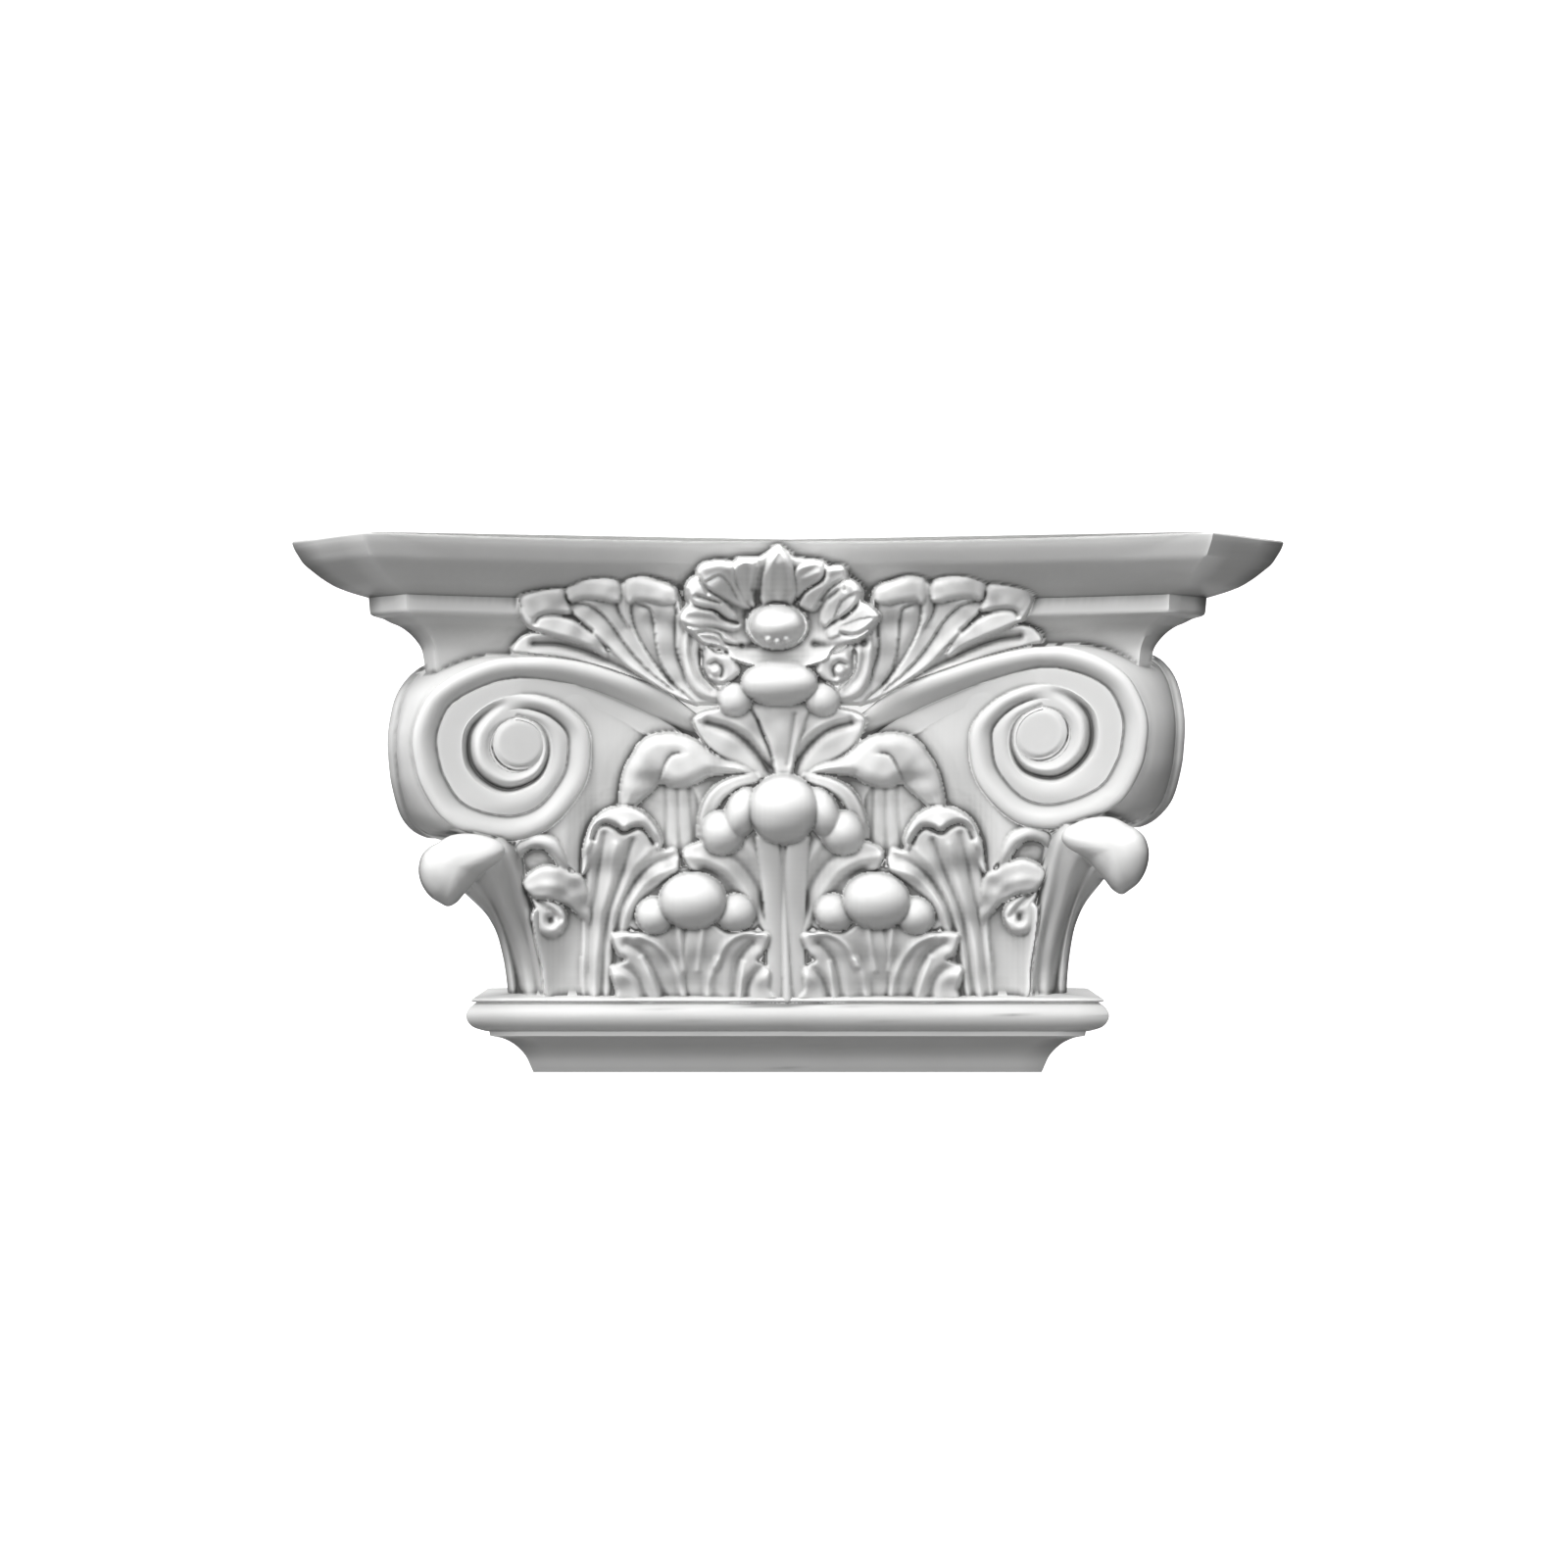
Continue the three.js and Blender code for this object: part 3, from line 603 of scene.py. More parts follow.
def distance_to(x, y, a, b, signed=False):
    """Distance from each place to the nearest of the pieces a-b, negative on the left hand if signed."""
    ux, uy = (b - a)[:, 0], (b - a)[:, 1]
    length = np.maximum(ux ** 2 + uy ** 2, 1e-9)
    dx, dy = x[:, None] - a[:, 0], y[:, None] - a[:, 1]
    t = np.clip((dx * ux + dy * uy) / length, 0, 1)
    away = np.hypot(dx - t * ux, dy - t * uy)
    if not signed:
        return away.min(1)
    k = away.argmin(1)
    row = np.arange(len(x))
    hand = np.sign(ux[k] * dy[row, k] - uy[k] * dx[row, k])
    return away[row, k] * hand


def winding(x, y, a, b):
    """True inside the closed outline, by counting edges crossed to the right."""
    y1, y2 = a[:, 1][None], b[:, 1][None]
    crosses = (y1 > y[:, None]) != (y2 > y[:, None])
    high = np.where(y2 == y1, 1e-9, y2 - y1)
    where = a[:, 0][None] + (y[:, None] - y1) * (b[:, 0] - a[:, 0])[None] / high
    return (np.sum(crosses & (x[:, None] < where), axis=1) % 2) == 1


def bowl(x, y):
    """The rosette's face: 66 in the middle, rising to 84 by smooth((r - 26) / 58), r an oval distance."""
    r = np.hypot((x - 793) * 0.86, (y - 640) * 1.15)
    return 66 + 18 * smooth_step((r - 26) / 58)


# Petals of the rosette: outline, level over the bowl in steps of 1.6, lines.
PETAL_STEP = 1.6
PETALS = [
    ([(696, 636), (694, 628), (700, 622), (715, 620), (729, 624), (740, 632), (756, 638), (748, 644),
      (730, 640), (712, 641)],
     1.0, [([(704, 630), (722, 631), (738, 636)], 3, -0.8)]),
    ([(700, 640), (714, 640), (733, 643), (748, 652), (757, 660), (742, 662), (730, 652), (712, 648)],
     0.6, []),
    ([(702, 606), (700, 597), (709, 588), (716, 590), (724, 604), (738, 614), (752, 628), (745, 632),
      (730, 623), (712, 620), (706, 615)],
     1.2, [([(710, 608), (723, 609), (736, 616)], 4, -1.8, 1)]),
    ([(711, 584), (717, 575), (732, 572), (747, 574), (750, 584), (752, 598), (762, 612), (766, 622),
      (752, 618), (738, 610), (724, 602), (716, 592)],
     1.4, [([(722, 592), (734, 587), (744, 594), (752, 608)], 5, -2.2, 1),
           ([(720, 580), (735, 577), (747, 580)], 5, 1.4)]),
    ([(749, 588), (751, 574), (762, 571), (773, 575), (772, 590), (769, 606), (770, 620), (758, 612)],
     1.4, [([(761, 578), (762, 600)], 4, -0.8),
           ([(754, 577), (762, 574), (770, 578)], 3, 0.9)]),
    ([(812, 608), (811, 590), (813, 580), (822, 575), (834, 573), (841, 577), (841, 587), (836, 594),
      (824, 601), (816, 611)],
     1.4, [([(822, 584), (832, 580)], 4, -0.9),
           ([(818, 592), (826, 588), (834, 584)], 3, 0.7)]),
    ([(815, 618), (818, 608), (828, 600), (840, 593), (845, 580), (858, 577), (864, 584), (862, 600),
      (852, 604), (842, 612), (832, 624), (820, 622)],
     1.0, [([(861, 590), (848, 598), (838, 608), (832, 618)], 5, -2.0, -1),
           ([(848, 582), (858, 581)], 4, 1.4)]),
    ([(836, 632), (842, 616), (854, 605), (864, 592), (873, 594), (879, 604), (873, 618), (862, 628),
      (850, 634), (842, 640)],
     1.2, [([(870, 606), (858, 614), (852, 628)], 4, -2.0, -1),
           ([(868, 598), (872, 604)], 3, 1.0)]),
    ([(844, 642), (856, 634), (866, 628), (878, 618), (886, 618), (896, 629), (888, 640), (874, 648),
      (860, 648), (846, 652)],
     0.8, [([(862, 637), (876, 632), (888, 630)], 3.5, -1.2, 1)]),
    ([(777, 616), (778, 596), (781, 580), (786, 568), (795, 559), (803, 565), (808, 576), (812, 592),
      (813, 606), (806, 620), (786, 622)],
     2.0, [([(784, 600), (786, 580), (795, 563), (804, 580), (807, 600)], 2.2, 0.9),
           ([(795, 576), (795, 612)], 5, 0.8)]),
]


# Cuts between the petals: points, width, depth.
ROSETTE_CREASES = [
    ([(771, 576), (770, 590), (767, 602)], 1.6, 2.6),
    ([(841, 576), (841, 588), (831, 597), (822, 603), (814, 613)], 1.8, 3.2),
    ([(863, 583), (864, 592), (862, 602)], 1.6, 2.6),
    ([(860, 592), (848, 601), (838, 613)], 1.6, 2.4),
    ([(874, 593), (878, 605), (872, 620), (860, 631)], 1.8, 3.0),
    ([(894, 634), (884, 643), (872, 648), (858, 646)], 1.8, 2.6),
    ([(710, 585), (716, 595), (722, 606)], 1.6, 2.6),
    ([(711, 608), (722, 612), (735, 615)], 1.6, 2.2),
    ([(700, 604), (706, 614), (716, 621), (728, 623), (738, 632), (752, 637)], 1.8, 2.8),
    ([(712, 646), (724, 645), (734, 648), (741, 657), (757, 659)], 1.8, 3.0),
    ([(832, 658), (856, 660), (884, 656)], 4.5, 3.4),
    ([(742, 658), (757, 661), (770, 658)], 4.0, 2.4),
    ([(768, 604), (764, 616), (762, 628)], 5.0, 1.6),
]
# The groove round the ball, an oval.
BALL_GROOVE = [(793 + 28.5 * math.cos(a), 638.5 + 22.5 * math.sin(a))
               for a in np.linspace(0, 2 * math.pi, 33)]


def carve(relief):
    """All the carving of the front, from the back layer to the front one. Each form is depth over its
    outline, as leaf(), rope(), bead() and crease() of the relief give it."""
    leaf, rope, bead, crease = relief.leaf, relief.rope, relief.bead, relief.crease
    # Plate that runs from the bell out to the scroll, and the arm of the scroll over it.
    leaf([(545, 684), (600, 690), (640, 703), (672, 722), (700, 742), (712, 770), (700, 800), (680, 840),
          (650, 880), (600, 898), (582, 886), (570, 870), (548, 862), (530, 850), (560, 838), (590, 800),
          (597, 768), (590, 745), (575, 728), (560, 712)], plate_depth, roll=2, drop=1)

    # Lower leaves.
    leaf([(625, 953), (640, 951), (655, 951), (668, 945), (704, 930), (704, 1022), (634, 1022), (629, 1010),
          (624, 997), (624, 986), (638, 980), (631, 974), (626, 963)],
         [(640, 956, 48), (633, 962, 46), (665, 965, 46), (690, 985, 40), (697, 1015, 36), (704, 960, 44),
          (704, 1015, 36), (630, 990, 45), (640, 1012, 40), (655, 985, 43)],
         [([(652, 955), (670, 963), (683, 978), (692, 995), (698, 1015)], 4, 2.2),
          ([(640, 963), (655, 972), (665, 985), (672, 1000), (678, 1016)], 5, -2.4),
          ([(655, 977), (661, 990), (667, 1005), (672, 1018)], 3, 1.0),
          ([(630, 986), (642, 990), (652, 1000), (658, 1018)], 5, -2.6),
          ([(704, 940), (704, 1018)], 5, -1.6),
          ([(691, 930), (694, 960), (699, 990)], 3, 1.3)], roll=5, drop=3)
    leaf([(704, 930), (740, 950), (760, 950), (784, 953), (783, 965), (779, 974), (774, 980), (781, 984),
          (786, 992), (786, 1008), (788, 1022), (704, 1022)],
         [(775, 956, 48), (779, 968, 46), (748, 962, 46), (722, 985, 40), (716, 1015, 36), (704, 960, 44),
          (704, 1015, 36), (781, 992, 45), (771, 1012, 40), (757, 985, 43)],
         [([(731, 985), (738, 967), (748, 957), (762, 951), (778, 951)], 4, 2.0),
          ([(722, 1015), (724, 1000), (731, 980)], 4, 2.0),
          ([(768, 963), (757, 975), (751, 990), (748, 1016)], 5, -2.4),
          ([(758, 982), (757, 995), (756, 1018)], 2.5, 1.0),
          ([(780, 986), (770, 995), (764, 1005), (761, 1018)], 5, -2.6),
          ([(718, 930), (716, 960), (712, 990)], 3, 1.3)], roll=5, drop=3)

    # Middle leaf: a broad band turning out on each hand over a fluted middle.
    leaf([(716, 858), (702, 864), (697, 870), (699, 880), (706, 888), (722, 894), (735, 905), (752, 930),
          (778, 950), (788, 975), (789, 1022), (806, 1022), (806, 830), (760, 840)],
         [(700, 872, 48), (716, 866, 52), (735, 880, 50), (760, 905, 46), (780, 940, 42), (793, 1010, 37),
          (802, 940, 40), (802, 870, 46), (770, 860, 50), (725, 893, 46)],
         [([(700, 873), (725, 879), (745, 890), (765, 915), (780, 945), (787, 985), (790, 1020)], 5, 1.8),
          ([(718, 887), (738, 898), (758, 925), (774, 948)], 5, -1.4),
          ([(735, 866), (760, 885), (778, 915), (789, 955), (793, 1020)], 4.5, -1.6),
          ([(762, 862), (775, 885), (785, 920), (788, 960)], 5, 1.0)], roll=4, drop=2.5)
    rope([(792, 1020, 38, 9), (791, 950, 42, 10), (788, 900, 47, 11), (783, 855, 52, 12)], 2.2, tips=(0, 0))
    rope([(803.5, 1020, 40.5, 4.5), (802.5, 950, 43, 4.5), (801, 900, 46, 4.5), (800, 855, 50, 5)], 1.8,
         tips=(0, 0))

    # Flutes of the bud's stalk.
    leaf([(654, 798), (716, 795), (716, 868), (650, 868)],
         [(690, 800, 43.5), (690, 830, 41.5), (690, 860, 41)],
         [([(679, 802), (680, 830), (678, 868)], 2.5, -0.8),
          ([(691, 803), (692, 830), (694, 868)], 2.5, -0.9),
          ([(703, 803), (705, 830), (709, 868)], 2.5, -0.8)], roll=10, drop=2.6)

    # Tall leaf.
    leaf([(596, 895), (597, 868), (603, 842), (620, 832), (650, 832), (667, 846), (675, 866), (688, 866),
          (694, 878), (690, 890), (672, 903), (652, 925), (640, 960), (634, 1022), (596, 1022),
          (594, 950)],
         [(604, 860, 54), (601, 900, 46), (600, 960, 40), (602, 1015, 36), (628, 860, 54), (622, 900, 47),
          (616, 960, 40), (616, 1015, 36), (650, 870, 51), (640, 910, 45), (672, 882, 50), (688, 878, 47),
          (655, 905, 44), (630, 980, 38)],
         [([(617, 852), (612, 880), (607, 915), (601, 945), (599, 1020)], 4, -1.8),
          ([(645, 858), (637, 885), (628, 912), (619, 945), (614, 1020)], 4, -1.8),
          ([(689, 872), (672, 879), (656, 890), (643, 908), (630, 940), (624, 1020)], 4, -2.2),
          ([(690, 886), (672, 892), (655, 905), (642, 925), (634, 950)], 3, 1.2),
          ([(629, 862), (622, 900), (611, 950), (606, 1020)], 4.5, 1.3),
          ([(662, 868), (648, 885), (634, 915), (622, 960), (618, 1020)], 4, 1.0)], roll=6, drop=3)
    leaf([(594, 893), (595, 868), (601, 846), (608, 835), (618, 827), (632, 823), (646, 824), (658, 830),
          (668, 841), (674, 853), (675, 861), (671, 868), (666, 858), (656, 844), (645, 843), (637, 847),
          (628, 841), (617, 839), (610, 845), (606, 858), (602, 880)],
         [(597, 880, 50), (600, 856, 56), (613, 832, 61), (633, 829, 63), (652, 832, 62), (668, 848, 59),
          (672, 862, 53), (637, 844, 65)], roll=6, drop=3)
    crease([(605, 856), (608, 846), (613, 841.5), (620, 841), (628, 844.5), (636, 850), (645, 847),
            (652, 844.5), (661, 849), (668, 860)], 2.4, 4)

    # Tongue leaf: stem, turned lip, drop, and the hood above.
    leaf([(543, 930), (560, 925), (580, 918), (600, 926), (603, 960), (602, 1022), (560, 1022), (552, 985),
          (545, 955)],
         lambda x, y: 32 + 10 * ((x - 584) / 32) ** 2 + 0.06 * (1020 - y), roll=4, drop=2.4)
    leaf([(531, 902), (538, 893), (548, 886), (558, 883), (571, 885), (584, 890), (596, 897), (603, 925),
          (601, 950), (594, 938), (583, 926), (572, 921), (562, 918), (549, 917), (541, 914)],
         [(534, 903, 54), (548, 893, 56), (562, 890, 57), (580, 894, 53.5), (592, 908, 48), (600, 925, 43),
          (598, 948, 39), (560, 905, 57), (545, 910, 55), (580, 915, 50)],
         [([(540, 906), (556, 903), (572, 905), (584, 914)], 5, 0.8)], roll=6, drop=2.6)
    leaf([(540, 915), (552, 917), (566, 920), (576, 928), (578, 940), (572, 952), (561, 956), (551, 952),
          (546, 942), (545, 928)],
         [(561, 936, 49), (552, 922, 50), (572, 945, 48)],
         [([(549, 919), (559, 926), (566, 932), (571, 938)], 3, -2.4),
          ([(562, 938), (562, 940)], 4.5, -4.5)], roll=9, drop=5)
    rope([(524, 902, 42, 4), (524, 884, 49, 5), (529, 867, 54, 6), (545, 858, 57, 6.5), (561, 861, 57, 7),
          (571, 874, 54, 6), (577, 890, 48, 5)], 3.0, tips=(0, 0))
    leaf([(526, 902), (529, 872), (546, 862), (563, 866), (574, 892), (560, 902)],
         [(547, 870, 41), (562, 874, 42), (550, 888, 46), (535, 886, 44), (566, 890, 46)], roll=2, drop=1)

    # Petals of the collar round the middle cluster.
    rope([(772, 793, 56, 5), (748, 800, 58, 7), (731, 812, 57, 8), (722, 830, 54, 8), (718, 850, 50, 7)], 3,
         hollow=0.25)
    rope([(770, 800, 52, 6), (745, 812, 52, 7), (732, 830, 50, 6)], 2.5)

    # Calyx.
    leaf([(731, 722), (714, 727), (707, 733), (708, 740), (713, 750), (722, 763), (740, 776), (760, 785),
          (780, 796), (796, 796), (792, 770), (776, 735), (765, 716), (748, 718)],
         [(714, 734, 60), (730, 726, 61), (728, 750, 58), (755, 735, 60), (760, 770, 56), (790, 785, 54),
          (778, 755, 57), (768, 722, 60)],
         [([(722, 737), (745, 745), (765, 760), (785, 785)], 5, -4.2),
          ([(712, 733), (735, 735), (757, 742), (775, 758), (790, 782)], 3, 0.8),
          ([(769, 720), (778, 742), (787, 765), (792, 785)], 3.5, -2.4)], roll=5, drop=3)
    leaf([(766, 712), (828, 712), (823, 735), (813, 765), (806, 797), (793, 797), (787, 767), (775, 737)],
         [(770, 720, 61), (797, 716, 64), (824, 720, 61), (797, 745, 62.5), (797, 780, 58), (782, 745, 60),
          (815, 745, 60)],
         [([(811, 730), (808, 755), (804, 780)], 2.5, -1.0)], roll=4, drop=2.5, both=False)

    # Bud that droops over the bell.
    leaf([(632, 821), (633, 805), (636, 790), (641, 778), (646, 770), (652, 760), (660, 753), (670, 749),
          (685, 748), (700, 750), (712, 756), (721, 763), (730, 770), (741, 776), (752, 779), (764, 784),
          (780, 794), (768, 792), (752, 790), (738, 790), (722, 792), (713, 797), (704, 801), (694, 803),
          (684, 802), (674, 798), (666, 806), (658, 813), (649, 821), (640, 826)],
         [(640, 820, 56), (646, 800, 60), (656, 783, 63), (668, 771, 64), (690, 760, 65), (712, 768, 66),
          (740, 782, 62), (775, 792, 60), (662, 797, 57), (690, 790, 67), (704, 785, 68.5), (697, 778, 68),
          (718, 782, 67), (688, 781, 66.5)],
         [([(692, 770), (686, 771), (681, 777), (677, 787), (673, 799)], 3.5, -3.6, 1),
          ([(722, 789), (745, 787), (770, 791)], 3, -1.6)], roll=14, drop=6)

    # Upper leaf: a back edge along the arm, a fan of three blades, and their tips rolled over.
    leaf([(523, 665), (527, 655), (536, 648), (552, 645), (590, 652), (640, 672), (680, 695), (712, 718),
          (700, 716), (650, 694), (600, 678), (540, 668)],
         [(530, 660, 56), (560, 652, 56), (600, 665, 56), (650, 685, 57), (700, 712, 56)],
         [([(545, 657), (570, 658), (600, 666), (640, 684), (690, 709)], 4.5, -3.4)], roll=3, drop=2)
    leaf([(533, 618), (534, 607), (542, 601), (557, 598), (572, 598), (577, 592), (588, 588), (602, 587),
          (618, 589), (633, 595), (640, 589), (652, 588), (670, 592), (690, 600), (697, 630), (712, 690),
          (735, 716), (712, 719), (690, 712), (660, 694), (639, 680), (619, 660), (603, 645), (590, 637),
          (570, 632), (548, 634), (536, 630)],
         [(540, 612, 68), (560, 625, 64), (585, 628, 63), (600, 640, 61), (640, 672, 58), (690, 705, 57),
          (600, 614, 66), (610, 630, 62), (632, 655, 59), (665, 688, 58), (665, 616, 66), (668, 640, 61.5),
          (680, 680, 59), (702, 650, 64), (720, 705, 60), (650, 600, 70), (690, 620, 68)],
         [([(576, 598), (578, 612), (584, 624), (594, 636)], 6, -2.6, 1),
          ([(590, 615), (603, 618), (614, 626), (625, 638), (636, 654), (648, 669), (662, 684), (684, 702)],
           7, -2.6, 1),
          ([(631, 606), (632, 622), (640, 637)], 5, -3.0, 1),
          ([(642, 606), (644, 630), (650, 648), (664, 672), (684, 698)], 6, -2.8, -1),
          ([(636, 598), (637, 616), (640, 636)], 3.5, 1.2),
          ([(655, 617), (664, 622), (668, 637), (670, 657), (676, 679), (688, 697), (704, 712)], 7, -2.6,
           1),
          ([(689, 604), (691, 623), (690, 645), (692, 668), (702, 692)], 6, -3.4, 1),
          ([(600, 640), (620, 655), (640, 674), (665, 693), (690, 708)], 5, 0.9),
          ([(700, 640), (706, 670), (716, 694)], 4, 1.2)], roll=3, drop=2)
    leaf([(532, 622), (532, 608), (540, 601), (556, 597), (574, 598), (578, 612), (583, 624), (572, 629),
          (556, 630), (545, 634), (537, 632)],
         [(534, 622, 69), (540, 606, 71.5), (556, 603, 72), (572, 604, 71.5), (580, 620, 67),
          (556, 618, 71), (545, 628, 68), (568, 624, 67)], roll=9, drop=3)
    leaf([(577, 604), (578, 593), (588, 588), (602, 587), (618, 589), (632, 596), (633, 612), (626, 615),
          (612, 612), (596, 611), (582, 614)],
         [(580, 600, 71), (600, 594, 73), (620, 597, 73), (630, 606, 70), (600, 608, 71), (585, 610, 69)],
         roll=8, drop=2.6)
    leaf([(638, 606), (639, 592), (652, 588), (670, 592), (688, 600), (690, 613), (680, 617), (664, 614),
          (650, 613), (642, 616)],
         [(642, 600, 71), (660, 597, 73), (680, 604, 73), (686, 612, 70), (660, 609, 71), (645, 610, 69)],
         roll=8, drop=2.6)
    leaf([(531, 620), (534, 632), (542, 641), (556, 646), (570, 650), (584, 654), (600, 660), (618, 670),
          (620, 664), (612, 652), (598, 641), (584, 632), (566, 627), (548, 626)],
         [(536, 628, 68.5), (552, 638, 67), (575, 642, 66), (600, 648, 62), (620, 664, 58)], roll=5, drop=3)
    crease([(546, 636), (550, 630), (560, 627), (576, 628), (590, 634), (604, 644)], 2.2, 2.4)

    # Small curled bud beside the egg.
    leaf([(735, 716), (716, 712), (704, 700), (697, 680), (695, 655), (700, 642), (710, 644), (716, 655),
          (714, 670), (718, 688), (732, 702), (742, 706)],
         [(700, 655, 66), (704, 680, 65), (718, 702, 64), (735, 710, 63), (710, 650, 67)],
         [([(705, 650), (705, 670), (712, 690), (726, 704)], 3, -1.8)], roll=6, drop=4)
    leaf([(712, 652), (720, 656), (730, 664), (742, 667), (752, 674), (755, 684), (750, 692), (742, 697),
          (732, 698), (722, 692), (717, 682), (716, 668)],
         [(716, 656, 68), (724, 668, 70), (738, 670, 72), (750, 680, 71), (740, 692, 70), (726, 690, 69)],
         [([(719, 664), (718, 676), (723, 688)], 3, -2.2),
          ([(724, 678), (731, 676), (737, 682), (736, 690)], 2.6, -2.6),
          ([(751, 672), (754, 680)], 3, -1.6)], roll=6, drop=4)
    bead(730.5, 684.5, 70, 5, 5, 2.6)

    leaf([(736, 648), (762, 660), (774, 680), (764, 700), (748, 704), (742, 682)],
         [(750, 665, 66), (758, 685, 65), (750, 698, 64)], roll=2, drop=1)

    # Rosette: an open flower, petals round a bowl.
    leaf([(795, 555), (805, 563), (812, 569), (832, 571), (842, 574), (848, 580), (858, 577), (864, 583),
          (866, 592), (874, 594), (880, 602), (880, 613), (888, 618), (897, 628), (893, 638), (886, 646),
          (876, 653), (862, 658), (850, 664), (838, 676), (795, 684), (750, 674), (742, 664), (730, 660),
          (716, 656), (708, 648), (698, 641), (694, 631), (697, 622), (702, 616), (699, 605), (701, 595),
          (709, 588), (713, 578), (722, 573), (735, 572), (748, 573), (753, 569), (762, 568), (776, 568),
          (786, 560)],
         lambda x, y: bowl(x, y) - 1.5, roll=3, drop=2, both=False)
    for outline, lift_by, lines in PETALS:
        leaf(outline,
             lambda x, y, up=lift_by: bowl(x, y) + PETAL_STEP * up, lines, roll=4, drop=3, both=False)
    for points, width, amount in ROSETTE_CREASES:
        crease(points, width, amount, both=False)
    bead(793, 638.5, 70, 31.5, 24.5, 3.5, both=False)
    crease(BALL_GROOVE, 2.0, 3.5, both=False)
    bead(793.5, 638, 71, 26.5, 20.5, 15, both=False)
    for px, py, turn in ((785, 651, -35), (793.5, 653, 0), (802, 651, 35)):
        bead(px, py, 79.5, 4.5, 6, 3.5, both=False, turn=turn)

    # Fruit, with the ground between the leaves that it lies on.
    leaf([(648, 950), (655, 915), (675, 893), (700, 884), (730, 886), (758, 912), (768, 950)],
         [(675, 915, 43), (700, 895, 44), (735, 905, 43), (760, 940, 42), (655, 940, 42)], roll=2, drop=1)
    leaf([(706, 788), (790, 788), (790, 842), (724, 842), (712, 815)],
         [(712, 800, 43.5), (740, 810, 46), (780, 820, 48)], roll=2, drop=1)
    bead(750, 713, 66, 17, 17, 7)
    bead(795.5, 697, 70, 39, 22.5, 12, both=False)
    bead(737.5, 849, 58, 22, 22.5, 10)
    bead(757, 829, 61, 17, 26, 10, turn=-18)
    bead(799.5, 825.5, 66, 35, 35, 15, both=False)
    bead(668, 934, 48, 19, 19, 8.5)
    bead(750.5, 931, 48, 20, 19, 8.5)
    bead(707, 919, 54, 34, 28.5, 13)


# The tip of the corner leaf, rolled over under the scroll.
CURL_OUTLINE = [
    (446, 860), (437, 865), (430, 873), (427, 885), (428, 896), (432, 906), (439, 915), (448, 921),
    (457, 925), (466, 921), (473, 913), (482, 903), (490, 893), (500, 886), (511, 877), (515, 866),
    (506, 857), (484, 851), (462, 852),
]

# The corner leaf, line by line from the wall side to the bell, each from under the curl to the ledge.
CORNER_LEAF = [
    [(462, 897, 40), (478, 915, 30), (495, 932, 18), (507, 952, 8), (514, 978, 1), (518, 1000, 0),
     (520, 1024, 0)],
    [(459, 893, 70), (475, 911, 62), (493, 928, 46), (506, 950, 34), (513, 975, 27), (517, 1000, 22),
     (519, 1024, 18)],
    [(468, 888, 75), (484, 906, 67), (500, 926, 51), (511, 950, 39), (518, 975, 32), (522, 1000, 28),
     (524, 1024, 24)],
    [(476, 885, 75), (492, 903, 66), (506, 928, 49), (517, 955, 37), (524, 980, 30), (528, 1000, 26),
     (531, 1024, 24)],
    [(486, 872, 77), (502, 892, 71), (514, 925, 55), (526, 955, 43), (533, 980, 36), (537, 1000, 33),
     (540, 1024, 31)],
    [(496, 863, 74), (512, 880, 69), (524, 920, 54), (535, 950, 43), (542, 978, 37), (546, 1000, 33),
     (549, 1024, 31)],
    [(508, 855, 69), (521, 870, 66), (533, 912, 54), (541, 945, 45), (548, 975, 39), (553, 1000, 35),
     (557, 1024, 33)],
    [(524, 855, 46), (532, 870, 44), (542, 912, 40), (549, 945, 36), (555, 975, 33), (560, 1000, 29),
     (564, 1024, 27)],
]


def skin(shells, side, lines, along=40, across=6):
    """A surface through drawn lines: a curve along each, then a curve across them all."""
    lanes = np.array([curve(line, along) for line in lines])
    count = across * (len(lines) - 1) + 1
    places = np.stack([curve(lanes[:, k], count) for k in range(along)])
    rows = carved(side, places[..., 0], places[..., 1], places[..., 2])
    shells.grid(rows, flip=side < 0)


DRAWING = {"left": 505, "right": 1100, "top": 548, "bottom": 1024}  # px of the front's carving
RELIEF_STEP = {"full": 1.1, "quick": 2.0}
UPPER_ROWS = 0.55  # the share of the relief's height above the line where its two pieces meet


def make_pieces():
    """The capital's body with its scrolls and corner leaves, and the carving on its front."""
    body, upper, lower = Shells(), Shells(), Shells()
    neck(body)
    flat_ended_stack(body, [body_ring(level) for level in LEVELS])
    for side in (-1, 1):
        drum(body, side)
        scroll(body, side)
        scroll(body, side, mirrored=True)
        cushion(body, side, CURL_OUTLINE, centre=(464, 884), depth=76, rise=12, back=16, power=2.4,
                tilt=(-0.12, 0.02))
        skin(body, side, CORNER_LEAF)
    relief = Relief(**DRAWING, step=RELIEF_STEP["full"])
    carve(relief)
    relief.soften(2)
    relief.shell(upper, 0, UPPER_ROWS)
    relief.shell(lower, UPPER_ROWS, 1)
    hollows = Hollows([body, upper, lower])
    return [piece(name, shells, hollows) for name, shells in
            (("capital_body", body), ("carving_upper", upper), ("carving_lower", lower))]


def placed(name, data):
    """A new object of the data, at the origin of the scene."""
    made = bpy.data.objects.new(name, data)
    bpy.context.scene.collection.objects.link(made)
    return made


